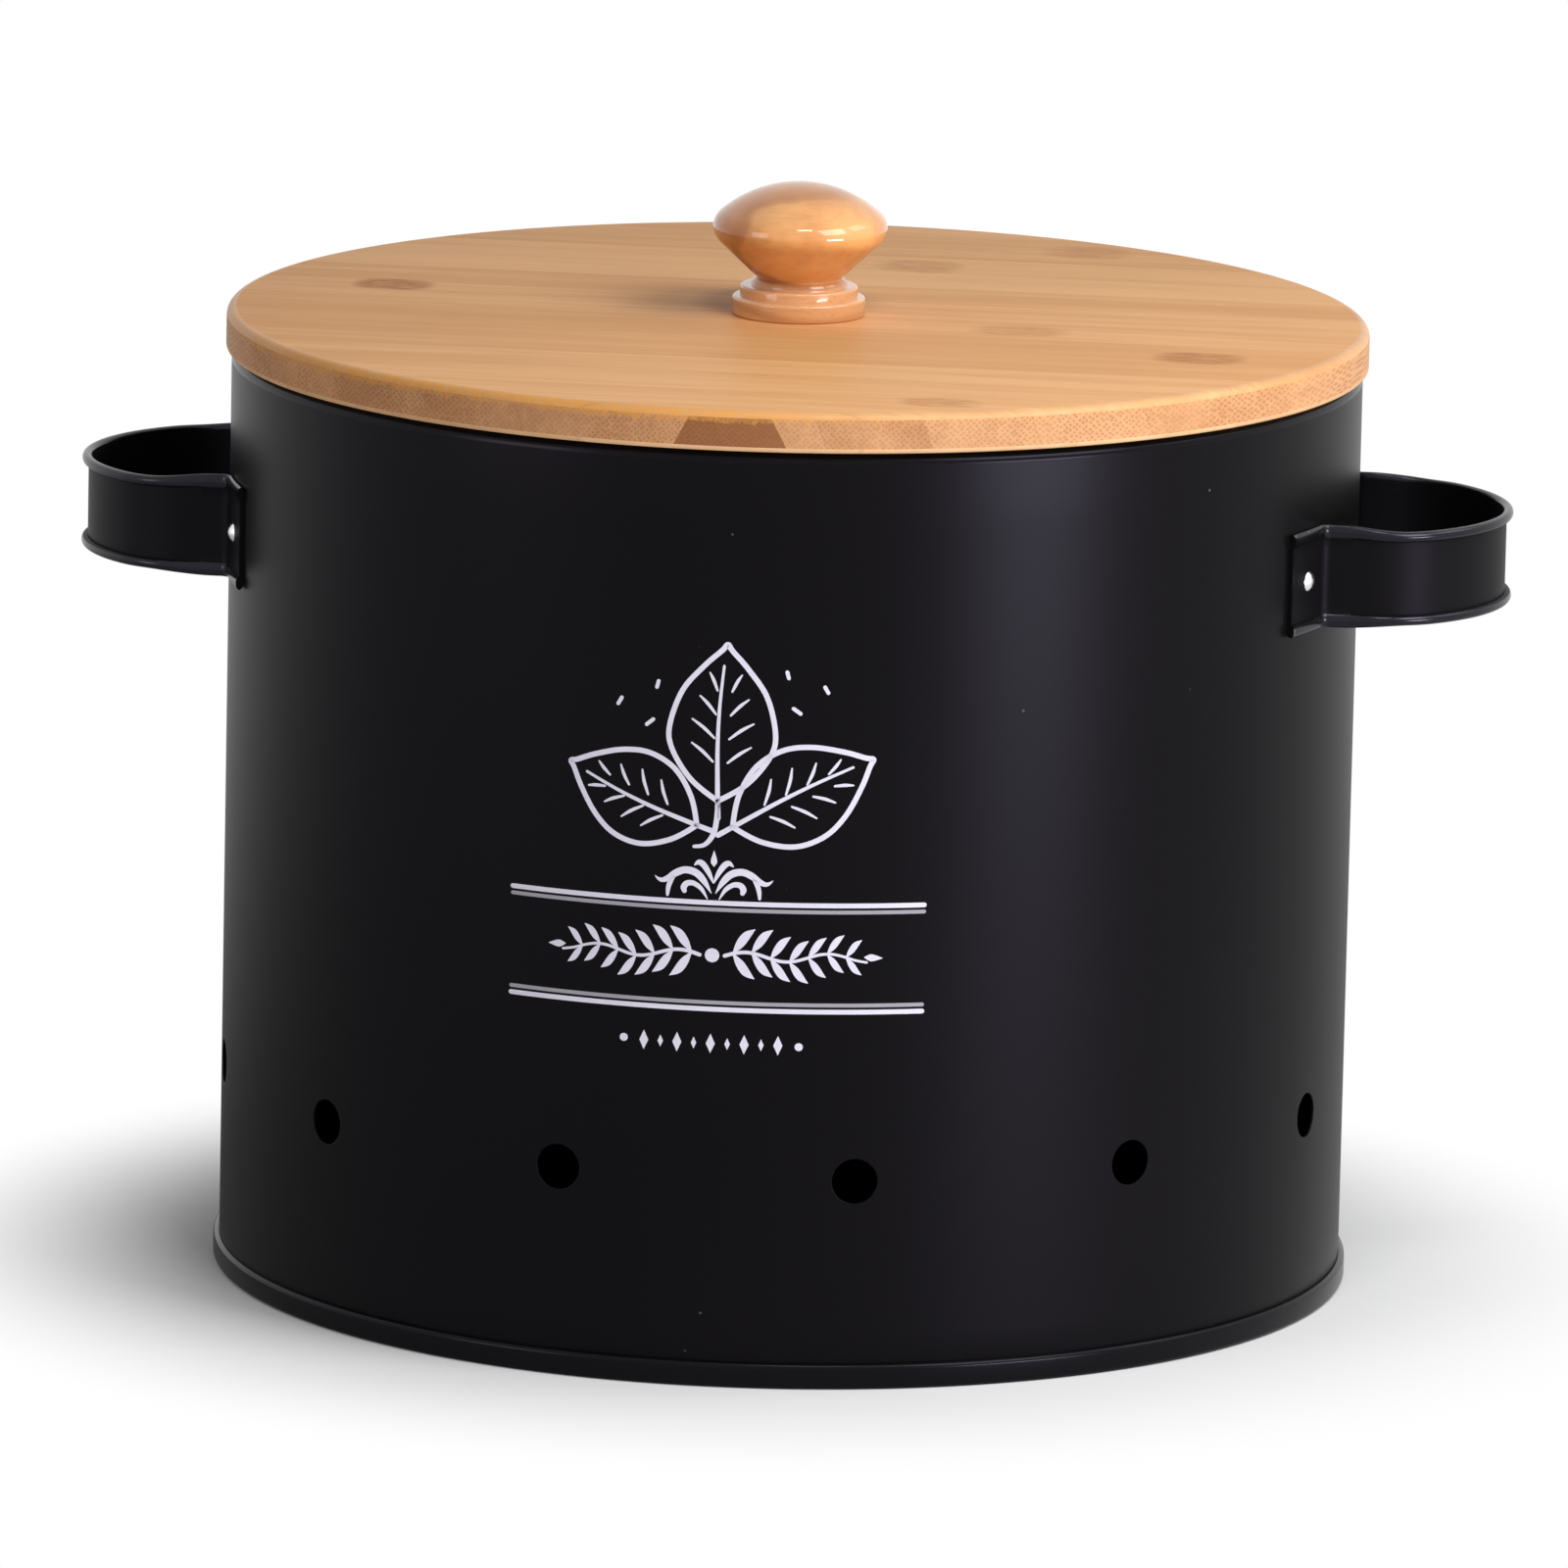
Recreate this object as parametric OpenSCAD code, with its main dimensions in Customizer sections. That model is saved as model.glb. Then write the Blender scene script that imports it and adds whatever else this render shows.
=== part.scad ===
// Round vegetable storage bin: a vented steel drum with a seamed base, two riveted strap
// handles, and a lift-off lid of cross-laminated bamboo with a turned wooden knob.
// The origin is on the table under the bin's axis, the front is -Y and +Z is up.

/* [Body] */
// Outside diameter of the steel body
body_d = 240; // [200:1:280]
// Height of the rolled rim above the table
body_h = 196.7; // [150:0.1:260]
// Thickness of the body sheet
body_sheet = 0.6; // [0.4:0.1:1.2]
// Outside radius of the roll that closes the rim
rim_roll_r = 2.2; // [1.5:0.1:3]
// Width of the welded lap seam at the back
lap_w = 6; // [3:0.5:10]

/* [Base] */
// Height of the seam that joins the base to the wall
base_seam_h = 5.3; // [4:0.1:8]
// How far the base seam stands proud of the wall
base_seam_proud = 1.3; // [0.8:0.1:2.5]
// Radius that rounds the base seam
base_seam_round = 0.6; // [0.2:0.1:0.7]
// Thickness of the base sheet
base_sheet = 0.6; // [0.4:0.1:1.2]
// Height of the base panel's underside above the table
base_recess = 3.6; // [2:0.1:6]
// Radius of the raised middle of the base panel
base_step_r = 96; // [60:1:97]
// Height of the raised middle
base_step_h = 1.2; // [0.5:0.1:2.5]
// Width of the slope around the raised middle
base_slope_w = 3; // [1:0.5:6]

/* [Vents] */
// Number of vent holes around the body
vent_count = 12; // [4:2:24]
// Diameter of a vent hole
vent_d = 9.5; // [4:0.5:14]
// Height of the vent holes above the table
vent_z = 44; // [20:1:80]

/* [Handles] */
// Distance from the rim down to the handles' middle
handle_drop = 36.5; // [20:0.1:80]
// Height of the strap
handle_h = 21; // [14:0.5:30]
// Thickness of the strap's sheet
handle_sheet = 0.8; // [0.5:0.1:1.5]
// Radius of the rolled bead along each edge of the strap
handle_bead_r = 1.1; // [0.7:0.1:1.3]
// Distance between the two legs where they leave the wall
handle_leg_gap = 63.6; // [50:0.2:80]
// Reach of the strap's middle line from the wall
handle_reach = 31.4; // [26:0.2:36]
// Angle by which each leg leans outwards
handle_flare = 3; // [0:0.5:8]
// Radius of the loop's corners
handle_corner_r = 18; // [10:0.5:20]
// Radius of the loop's front
handle_front_r = 37.3; // [36:0.1:60]
// Radius of the bend at the foot of each leg
handle_bend_r = 2.5; // [2.2:0.1:5]
// Length of each tab that lies on the wall
handle_tab_l = 13.8; // [10:0.1:22]

/* [Rivets] */
// Diameter of the rivet shank
rivet_d = 3; // [2:0.1:4]
// Diameter of the domed head
rivet_head_d = 4.2; // [4.2:0.1:7]
// Height of the domed head
rivet_head_h = 1.2; // [0.6:0.1:2]
// Diameter of the tail inside the bin
rivet_tail_d = 4.4; // [4.2:0.1:7]
// Thickness of the tail
rivet_tail_h = 0.8; // [0.4:0.1:1.5]
// Distance from the foot's bend to the rivet
rivet_inset = 6; // [5:0.1:7]

/* [Lid] */
// Diameter of the lid
lid_d = 242.4; // [241:0.1:250]
// Thickness of the lid board
lid_t = 8.5; // [6:0.1:14]
// Thickness of the top ply
top_ply_t = 1.5; // [0.8:0.1:2.4]
// Thickness of the bottom ply
bottom_ply_t = 1; // [0.8:0.1:2.4]
// Radius of the lid's top edge
lid_top_round = 2; // [0.8:0.1:3]
// Radius of the lid's bottom edge
lid_bottom_round = 0.6; // [0.3:0.1:1.2]
// Gap between the rolled rim and the lid
lid_gap = 0.3; // [0.2:0.1:1]

/* [Plug and seal] */
// Thickness of the locating plug under the lid
plug_t = 12; // [10:0.5:20]
// Radial gap between the plug and the bin's mouth
plug_gap = 3; // [2:0.1:6]
// Radius of the plug's lower edge
plug_round = 1.5; // [0.5:0.1:2]
// Depth of the seal groove
groove_depth = 2.5; // [1.5:0.1:4]
// Height of the seal groove
groove_h = 6; // [4:0.1:7]
// Distance from the lid down to the groove
groove_drop = 2.5; // [1.5:0.1:3.5]
// Thickness of a seal lip
seal_lip_t = 1; // [0.6:0.1:1.4]
// Clearance around the seal
seal_gap = 0.3; // [0.2:0.05:0.6]

/* [Knob] */
// Largest diameter of the knob
knob_d = 37.4; // [30:0.1:46]
// Height of the knob
knob_h = 28.2; // [27:0.1:36]
// Height of the knob's widest line
knob_widest_z = 19; // [17:0.1:20]
// Radius of the knob's widest edge
knob_edge_r = 2.4; // [1:0.1:4]
// Slope of the cone under the knob's edge
knob_cone_angle = 43; // [35:1:50]
// Diameter of the knob's neck
knob_neck_d = 18.6; // [15:0.1:22]
// Radius of the hollow between the cone and the neck
knob_hollow_r = 7; // [5:0.5:9]
// Diameter of the step above the foot
knob_step_d = 25; // [23:0.1:28]
// Height of the top of the step
knob_step_z = 7.4; // [6:0.1:8]
// Diameter of the knob's foot
knob_foot_d = 28.3; // [28:0.1:34]
// Height of the knob's foot
knob_foot_h = 4.7; // [3:0.1:5]
// Radius of the foot's edge
knob_foot_round = 0.9; // [0.4:0.1:1.2]

/* [Knob screw] */
// Diameter of the screw
screw_d = 4; // [3:0.1:5]
// Length of the screw in the knob
screw_grip = 14; // [10:0.5:18]
// Diameter of the screw head
screw_head_d = 8; // [6:0.1:10]
// Height of the screw head
screw_head_h = 2.4; // [1.5:0.1:3]
// Width of the cross recess in the head
screw_cross_w = 1; // [0.6:0.1:1.4]
// Depth of the cross recess
screw_cross_depth = 1.2; // [0.6:0.1:1.4]
// Diameter of the washer
washer_d = 12; // [10:0.1:15]
// Thickness of the washer
washer_t = 1; // [0.5:0.1:1.5]
// Depth of the pocket for the head and washer
pocket_depth = 4.5; // [4.5:0.1:6]

/* [Fits] */
// Radial clearance of a rivet in its holes
rivet_fit = 0.05; // [0.02:0.01:0.1]
// Radial clearance of the screw in the lid boards
screw_fit = 0.25; // [0.1:0.05:0.5]
// Radial clearance of the screw in the knob
thread_fit = 0.05; // [0.02:0.01:0.1]
// Radial clearance of the washer in its pocket
pocket_fit = 1; // [0.5:0.1:2]
// Gap between a rivet's tail and the curved wall
tail_gap = 0.05; // [0.03:0.01:0.1]

/* [Hidden] */
$fn = 128;
small_fn = 48;
arc_steps = 10;
// Length by which a cutter runs past the face it cuts
past = 5;

body_r = body_d / 2;
wall_inner_r = body_r - body_sheet;
rim_centre_r = body_r - rim_roll_r;
rim_centre_z = body_h - rim_roll_r;
mouth_r = body_r - 2 * rim_roll_r;
base_seam_r = body_r + base_seam_proud;
base_panel_r = wall_inner_r - base_sheet;
vent_step = 360 / vent_count;

handle_z = body_h - handle_drop;
// The strap's middle line, in plan, for a handle on the +X side
strap_wall_r = body_r + handle_sheet / 2;
strap_front_x = body_r + handle_reach;
bead_shift = handle_bead_r - handle_sheet / 2;
strap_run_in = 0.1;
// The lengths between the strap's corners and bends are this much thinner on each face
strap_thinner = 0.02;
leg_along = [cos(handle_flare), sin(handle_flare)];
leg_inward = [sin(handle_flare), -cos(handle_flare)];
leg_foot_y = handle_leg_gap / 2;
bend_y = leg_foot_y + handle_bend_r * cos(handle_flare);
bend_at = asin(bend_y / (strap_wall_r + handle_bend_r));
bend_centre = [(strap_wall_r + handle_bend_r) * cos(bend_at), bend_y];
leg_foot = bend_centre + handle_bend_r * leg_inward;
// The leg's length is the one that lets the corner run smoothly into the front
front_less_corner = handle_front_r - handle_corner_r;
corner_a = leg_foot[0] + handle_corner_r * leg_inward[0] + handle_front_r - strap_front_x;
corner_b = leg_foot[1] + handle_corner_r * leg_inward[1];
corner_m = corner_a * leg_along[0] + corner_b * leg_along[1];
leg_l = sqrt(corner_m ^ 2 + front_less_corner ^ 2 - corner_a ^ 2 - corner_b ^ 2) - corner_m;
corner_centre = leg_foot + leg_l * leg_along + handle_corner_r * leg_inward;
front_half_angle = asin(corner_centre[1] / front_less_corner);
front_centre = [strap_front_x - handle_front_r, 0];
tab_angle = handle_tab_l / body_r * 180 / PI;
rivet_at = bend_at + rivet_inset / body_r * 180 / PI;

lid_r = lid_d / 2;
lid_z = body_h + lid_gap;
lid_top_z = lid_z + lid_t;
plug_r = mouth_r - plug_gap;
plug_z = lid_z - plug_t;
groove_r = plug_r - groove_depth;
groove_top_z = lid_z - groove_drop;
groove_z = groove_top_z - groove_h;
seal_inner_r = groove_r + seal_gap;
seal_lip_r = mouth_r - seal_gap;
seal_z = groove_z + seal_gap;
seal_h = groove_h - 2 * seal_gap;

knob_r = knob_d / 2;
knob_edge_centre = [knob_r - knob_edge_r, knob_widest_z];
knob_rise = knob_h - knob_widest_z;
// The dome's radius is the one that meets the rounded edge smoothly
knob_dome_r = (knob_edge_centre[0] ^ 2 + knob_rise ^ 2 - knob_edge_r ^ 2) / (2 * (knob_rise - knob_edge_r));
knob_dome_centre = [0, knob_h - knob_dome_r];
knob_dome_from = atan2(knob_widest_z - knob_dome_centre[1], knob_edge_centre[0]);
knob_cone_top = knob_edge_centre + knob_edge_r * [sin(knob_cone_angle), -cos(knob_cone_angle)];
knob_neck_r = knob_neck_d / 2;
knob_hollow_x = knob_neck_r + knob_hollow_r;
knob_cone_foot_x = knob_hollow_x - knob_hollow_r * sin(knob_cone_angle);
knob_cone_foot_z = knob_cone_top[1] - (knob_cone_top[0] - knob_cone_foot_x) * tan(knob_cone_angle);
knob_hollow_z = knob_cone_foot_z - knob_hollow_r * cos(knob_cone_angle);
knob_collar_h = 1;
knob_collar_out = 1;
knob_collar_z = knob_step_z + knob_collar_h;
knob_hollow_to = 180 - asin(min(1, max(0, (knob_collar_z - knob_hollow_z) / knob_hollow_r)));
knob_step_round = 0.6;

pocket_z = plug_z + pocket_depth;
screw_r = screw_d / 2;
screw_length = lid_top_z + screw_grip - pocket_z + washer_t;
knob_hole_depth = screw_grip + 1;

// Points along an arc in the plane of a profile
function arc_points(centre, r, from, to, steps = arc_steps) =
    [for (i = [0:steps]) centre + r * [cos(from + (to - from) * i / steps), sin(from + (to - from) * i / steps)]];

// A bar's section whose outer corners are round, standing on the profile's x axis
module bar_section(w, h, top_round, bottom_round) {
    square([w - top_round, h]);
    square([w - bottom_round, h - top_round]);
    translate([0, bottom_round]) square([w, h - top_round - bottom_round]);
    translate([w - bottom_round, bottom_round]) circle(bottom_round, $fn = small_fn);
    translate([w - top_round, h - top_round]) circle(top_round, $fn = small_fn);
}

// The rim's sheet, rolled inwards for three quarters of a turn
module rim_section() {
    difference() {
        circle(rim_roll_r, $fn = small_fn);
        circle(rim_roll_r - body_sheet, $fn = small_fn);
        translate([0, -rim_roll_r]) square(rim_roll_r);
    }
}

module wall_section() {
    translate([wall_inner_r, base_sheet]) square([body_sheet, rim_centre_z - base_sheet]);
    translate([rim_centre_r, rim_centre_z]) rim_section();
}

module lap_seam() {
    lap_angle = lap_w / body_r * 180 / PI;
    rotate([0, 0, 90 - lap_angle / 2]) rotate_extrude(angle = lap_angle)
        translate([wall_inner_r, base_seam_h]) square([2 * body_sheet, rim_centre_z - base_seam_h]);
}

module at_rivets() {
    for (side = [0, 180], at = [-rivet_at, rivet_at])
        rotate([0, 0, side + at]) translate([0, 0, handle_z]) rotate([0, 90, 0]) children();
}

module body_wall() {
    color([0.07, 0.07, 0.075]) difference() {
        union() {
            rotate_extrude() wall_section();
            lap_seam();
        }
        for (i = [0:vent_count - 1])
            rotate([0, 0, -90 + (i + 0.5) * vent_step]) translate([mouth_r, 0, vent_z]) rotate([0, 90, 0])
                cylinder(h = 2 * rim_roll_r + past, d = vent_d);
        at_rivets() translate([0, 0, mouth_r])
            cylinder(h = 2 * rim_roll_r + past, r = rivet_d / 2 + rivet_fit, $fn = small_fn);
    }
}

// The base sheet dips under the wall, is seamed around its foot, and carries a raised middle
module base_section() {
    step_z = base_recess + base_step_h;
    slope_r = base_step_r + base_slope_w;
    translate([body_r, 0]) bar_section(base_seam_proud, base_seam_h, base_seam_round, base_seam_round);
    translate([base_panel_r, 0]) square([body_r - base_panel_r, base_sheet]);
    translate([base_panel_r, 0]) square([base_sheet, base_recess + base_sheet]);
    translate([slope_r, base_recess]) square([base_panel_r - slope_r, base_sheet]);
    translate([0, step_z]) square([base_step_r, base_sheet]);
    polygon([[base_step_r, step_z], [slope_r, base_recess], [slope_r, base_recess + base_sheet],
        [base_step_r, step_z + base_sheet]]);
}

module base_pan() {
    color([0.06, 0.06, 0.065]) rotate_extrude() base_section();
}

// The strap's section: x points away from the hand, y is up, and both edges are rolled outwards
module strap_section(thinner) {
    bead_y = handle_h / 2 - handle_bead_r;
    translate([thinner - handle_sheet / 2, -bead_y]) square([handle_sheet - 2 * thinner, 2 * bead_y]);
    for (side = [-1, 1])
        translate([bead_shift, side * bead_y]) circle(handle_bead_r - thinner, $fn = small_fn);
}

// A length of strap bent around a centre; it faces away from the centre, or towards it.
// Both ends run a little into the next length, so that the strap is one piece.
module strap_arc(centre, r, from, to, faces_centre = false, thinner = 0) {
    run_in = strap_run_in / r * 180 / PI;
    translate(centre) rotate([0, 0, from - run_in]) rotate_extrude(angle = to - from + 2 * run_in)
        translate([r, 0]) mirror([faces_centre ? 1 : 0, 0]) strap_section(thinner);
}

module strap_half() {
    strap_arc([0, 0], strap_wall_r, bend_at, bend_at + tab_angle, thinner = strap_thinner);
    strap_arc(bend_centre, handle_bend_r, 180 + bend_at, 270 + handle_flare, faces_centre = true);
    translate(leg_foot - strap_run_in * leg_along) rotate([0, 0, handle_flare + 90]) rotate([90, 0, 0])
        linear_extrude(leg_l + 2 * strap_run_in) strap_section(strap_thinner);
    strap_arc(corner_centre, handle_corner_r, front_half_angle, handle_flare + 90);
}

module handle() {
    color([0.04, 0.04, 0.045]) difference() {
        translate([0, 0, handle_z]) {
            strap_half();
            mirror([0, 1, 0]) strap_half();
            strap_arc(front_centre, handle_front_r, -front_half_angle, front_half_angle, thinner = strap_thinner);
        }
        at_rivets() translate([0, 0, wall_inner_r])
            cylinder(h = body_sheet + handle_sheet + past, r = rivet_d / 2 + rivet_fit, $fn = small_fn);
    }
}

module handle_right() {
    handle();
}

module handle_left() {
    rotate([0, 0, 180]) handle();
}

// A rivet along +Z, whose shank starts inside the wall
module rivet_blank() {
    head_curve_r = ((rivet_head_d / 2) ^ 2 + rivet_head_h ^ 2) / (2 * rivet_head_h);
    seat = body_r + handle_sheet;
    tail_top = wall_inner_r - tail_gap;
    translate([0, 0, tail_top]) cylinder(h = seat - tail_top, d = rivet_d, $fn = small_fn);
    translate([0, 0, tail_top - rivet_tail_h]) cylinder(h = rivet_tail_h, d = rivet_tail_d, $fn = small_fn);
    translate([0, 0, seat]) rotate_extrude($fn = small_fn) intersection() {
        translate([0, rivet_head_h - head_curve_r]) circle(head_curve_r);
        square([rivet_head_d, rivet_head_h]);
    }
}

module rivet(angle) {
    color([0.78, 0.79, 0.8]) rotate([0, 0, angle]) translate([0, 0, handle_z]) rotate([0, 90, 0]) rivet_blank();
}

module rivet_left_front() {
    rivet(180 + rivet_at);
}

module rivet_left_back() {
    rivet(180 - rivet_at);
}

module rivet_right_front() {
    rivet(-rivet_at);
}

module rivet_right_back() {
    rivet(rivet_at);
}

// One layer of the lid board, between two heights, with its clearance hole for the screw
module lid_layer(from_z, to_z) {
    difference() {
        intersection() {
            translate([0, 0, lid_z]) rotate_extrude()
                bar_section(lid_r, lid_t, lid_top_round, lid_bottom_round);
            translate([0, 0, from_z]) cylinder(h = to_z - from_z, r = lid_r + past);
        }
        translate([0, 0, from_z - past])
            cylinder(h = to_z - from_z + 2 * past, r = screw_r + screw_fit, $fn = small_fn);
    }
}

module lid_top_ply() {
    color([0.88, 0.7, 0.48]) lid_layer(lid_top_z - top_ply_t, lid_top_z);
}

module lid_core_ply() {
    color([0.8, 0.6, 0.4]) lid_layer(lid_z + bottom_ply_t, lid_top_z - top_ply_t);
}

module lid_bottom_ply() {
    color([0.86, 0.69, 0.48]) lid_layer(lid_z, lid_z + bottom_ply_t);
}

module lid_plug() {
    color([0.84, 0.67, 0.46]) difference() {
        translate([0, 0, plug_z]) rotate_extrude() difference() {
            bar_section(plug_r, plug_t, plug_round, plug_round);
            translate([groove_r, groove_z - plug_z]) square([groove_depth + past, groove_h]);
        }
        translate([0, 0, plug_z - past])
            cylinder(h = plug_t + 2 * past, r = screw_r + screw_fit, $fn = small_fn);
        translate([0, 0, plug_z - past])
            cylinder(h = pocket_depth + past, r = washer_d / 2 + pocket_fit, $fn = small_fn);
    }
}

// A flexible ring with two lips that meet the rolled rim's mouth
module seal_ring() {
    band_r = plug_r;
    lip_reach = seal_lip_r - band_r - seal_lip_t / 2;
    color([0.85, 0.85, 0.83]) rotate_extrude() {
        translate([seal_inner_r, seal_z]) square([band_r - seal_inner_r, seal_h]);
        for (lip_z = [seal_z, seal_z + seal_h - seal_lip_t]) {
            translate([band_r - seal_lip_t, lip_z]) square([lip_reach + seal_lip_t, seal_lip_t]);
            translate([band_r + lip_reach, lip_z + seal_lip_t / 2]) circle(seal_lip_t / 2, $fn = small_fn);
        }
    }
}

// The knob's turned outline, from the foot up to the crown
function knob_outline() = concat(
    [[0, 0]],
    arc_points([knob_foot_d / 2 - knob_foot_round, knob_foot_round], knob_foot_round, -90, 0),
    arc_points([knob_foot_d / 2 - knob_foot_round, knob_foot_h - knob_foot_round], knob_foot_round, 0, 90),
    [[knob_step_d / 2, knob_foot_h]],
    arc_points([knob_step_d / 2 - knob_step_round, knob_step_z - knob_step_round], knob_step_round, 0, 90),
    arc_points([knob_neck_r + knob_collar_out, knob_collar_z], knob_collar_out, 270, 180),
    arc_points([knob_hollow_x, knob_hollow_z], knob_hollow_r, knob_hollow_to, 90 + knob_cone_angle),
    arc_points(knob_edge_centre, knob_edge_r, knob_cone_angle - 90, knob_dome_from),
    arc_points(knob_dome_centre, knob_dome_r, knob_dome_from, 90, 2 * arc_steps)
);

module knob() {
    color([0.87, 0.62, 0.36]) translate([0, 0, lid_top_z]) difference() {
        rotate_extrude() polygon(knob_outline());
        translate([0, 0, -past])
            cylinder(h = knob_hole_depth + past, r = screw_r + thread_fit, $fn = small_fn);
    }
}

module knob_screw() {
    head_top_z = pocket_z - washer_t;
    head_z = head_top_z - screw_head_h;
    color([0.7, 0.71, 0.72]) difference() {
        union() {
            translate([0, 0, head_top_z]) cylinder(h = screw_length, d = screw_d, $fn = small_fn);
            translate([0, 0, head_z]) rotate_extrude($fn = small_fn)
                bar_section(screw_head_d / 2, screw_head_h, 0.2, screw_head_h / 3);
        }
        for (turn = [0, 90])
            rotate([0, 0, turn]) translate([-screw_r, -screw_cross_w / 2, head_z - past])
                cube([screw_d, screw_cross_w, screw_cross_depth + past]);
    }
}

module knob_washer() {
    color([0.66, 0.67, 0.68]) translate([0, 0, pocket_z - washer_t]) difference() {
        cylinder(h = washer_t, d = washer_d, $fn = small_fn);
        translate([0, 0, -past]) cylinder(h = washer_t + 2 * past, r = screw_r + screw_fit, $fn = small_fn);
    }
}

body_wall();
base_pan();
handle_left();
handle_right();
rivet_left_front();
rivet_left_back();
rivet_right_front();
rivet_right_back();
lid_top_ply();
lid_core_ply();
lid_bottom_ply();
lid_plug();
seal_ring();
knob();
knob_screw();
knob_washer();
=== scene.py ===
"""A round vegetable storage bin: black steel drum, strap handles, bamboo lid and turned knob.

Lengths are in metres, or in millimetres times MM. Z is up, and the printed front faces -Y.
"""
import math

import bmesh
import bpy
from mathutils import Matrix, Vector


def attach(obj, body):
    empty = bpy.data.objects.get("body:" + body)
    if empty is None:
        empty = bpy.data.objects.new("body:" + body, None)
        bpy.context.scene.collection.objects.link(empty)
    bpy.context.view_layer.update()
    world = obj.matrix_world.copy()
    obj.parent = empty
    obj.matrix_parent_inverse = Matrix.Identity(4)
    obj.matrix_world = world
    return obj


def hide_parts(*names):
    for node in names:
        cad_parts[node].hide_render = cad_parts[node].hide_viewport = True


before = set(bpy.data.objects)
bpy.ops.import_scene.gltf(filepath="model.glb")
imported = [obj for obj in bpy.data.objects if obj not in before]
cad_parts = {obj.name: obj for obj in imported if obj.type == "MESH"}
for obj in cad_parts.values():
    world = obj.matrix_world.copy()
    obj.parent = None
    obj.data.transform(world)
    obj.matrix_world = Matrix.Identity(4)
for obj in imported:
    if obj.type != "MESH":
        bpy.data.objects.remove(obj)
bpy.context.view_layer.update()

MM = 0.001
TAU = 2 * math.pi

# Sizes of the drum and its base
DRUM_R = 120 * MM
DRUM_SHEET = 0.6 * MM
RIM_ROLL_R = 2.2 * MM
RIM_ROLL_CENTRE_R = 117.8 * MM
RIM_ROLL_CENTRE_Z = 194.5 * MM
BASE_SEAM_R = 121.28 * MM
BASE_SEAM_H = 5.3 * MM
PAN_SHEET = 0.6 * MM
PAN_HIGH_Z = 5.4 * MM
PAN_LOW_Z = 4.2 * MM
VENT_COUNT = 12
VENT_R = 4.75 * MM
VENT_Z = 44 * MM
LAP_WIDTH = 6 * MM

# Sizes of the strap handles
HANDLE_Z = 160.2 * MM
HANDLE_SHEET = 0.8 * MM
STRAP_WALL_R = 120.4 * MM
STRAP_REACH_X = 151.4 * MM
LEG_HALF_GAP = 31.8 * MM
LEG_FLARE = math.radians(3)
CORNER_R = 18 * MM
FRONT_R = 37.3 * MM
BEND_R = 2.5 * MM
TAB_LENGTH = 13.8 * MM
RIVET_INSET = 6 * MM
RIVET_SEAT_R = 120.8 * MM
BEAD_FROM = 8.1 * MM

# Sizes of the lid, its plug and its seal
LID_R = 121.2 * MM
LID_Z = 197 * MM
LID_TOP_Z = 205.5 * MM
TOP_PLY = 1.5 * MM
BOTTOM_PLY = 1 * MM
LID_TOP_ROUND = 2 * MM
LID_BOTTOM_ROUND = 0.6 * MM
SCREW_HOLE_R = 2.25 * MM
PLUG_R = 112.6 * MM
PLUG_Z = 185 * MM
GROOVE_R = 110.1 * MM

# The photograph's viewpoint
CAMERA_AZIMUTH = math.radians(7.6)
CAMERA_ELEVATION = math.radians(11.3781)
CAMERA_DISTANCE = 3.4016
CAMERA_ROLL = math.radians(1.2242)
CAMERA_LENS = 365.96
ORBIT_HEIGHT = 100 * MM
AIM_HEIGHT = 103.7 * MM
AIM_LEFT = 0.94 * MM


# The camera

def place_camera():
    """The photograph's camera: far off with a long lens, a little above the lid."""
    data = bpy.data.cameras.new("camera")
    data.sensor_width = 36
    data.lens = CAMERA_LENS
    data.clip_end = 50
    camera = bpy.data.objects.new("camera", data)
    bpy.context.scene.collection.objects.link(camera)
    bpy.context.scene.camera = camera
    across, along = math.sin(CAMERA_AZIMUTH), -math.cos(CAMERA_AZIMUTH)
    level = CAMERA_DISTANCE * math.cos(CAMERA_ELEVATION)
    height = CAMERA_DISTANCE * math.sin(CAMERA_ELEVATION) + ORBIT_HEIGHT
    camera.location = (level * across, level * along, height)
    aim = Vector((AIM_LEFT * along, -AIM_LEFT * across, AIM_HEIGHT))
    facing = (aim - camera.location).to_track_quat("-Z", "Y").to_matrix().to_4x4()
    camera.rotation_mode = "QUATERNION"
    camera.rotation_quaternion = (facing @ Matrix.Rotation(CAMERA_ROLL, 4, "Z")).to_quaternion()


bpy.context.scene.view_settings.view_transform = "Standard"
place_camera()


# Making meshes

CREASE = 40
ON_AXIS = 0.001 * MM
SAME_POINT = 0.0001 * MM
WELD_DISTANCE = 0.002 * MM


def new_piece(name, points, faces, finish, crease=CREASE):
    """A mesh piece at the origin, smooth but for edges sharper than crease degrees."""
    mesh = bpy.data.meshes.new(name)
    mesh.from_pydata([tuple(p) for p in points], [], faces)
    mesh.validate()
    piece = bpy.data.objects.new(name, mesh)
    bpy.context.scene.collection.objects.link(piece)
    mesh.materials.append(finish)
    smooth(mesh, crease)
    return piece


def smooth(mesh, crease=CREASE):
    """Smooth shading, but for edges sharper than crease degrees."""
    mesh.polygons.foreach_set("use_smooth", [True] * len(mesh.polygons))
    mesh.set_sharp_from_angle(angle=math.radians(crease))
    mesh.update()


def face_outwards(mesh):
    """Joins the mesh's doubled points and turns its faces outwards."""
    shell = bmesh.new()
    shell.from_mesh(mesh)
    bmesh.ops.remove_doubles(shell, verts=shell.verts, dist=SAME_POINT)
    bmesh.ops.recalc_face_normals(shell, faces=shell.faces)
    shell.to_mesh(mesh)
    shell.free()


def arc(centre, radius, start, end, steps=8):
    """Points along an arc, with its angles in degrees."""
    turn = [math.radians(start + (end - start) * i / steps) for i in range(steps + 1)]
    return [(centre[0] + radius * math.cos(t), centre[1] + radius * math.sin(t)) for t in turn]


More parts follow.
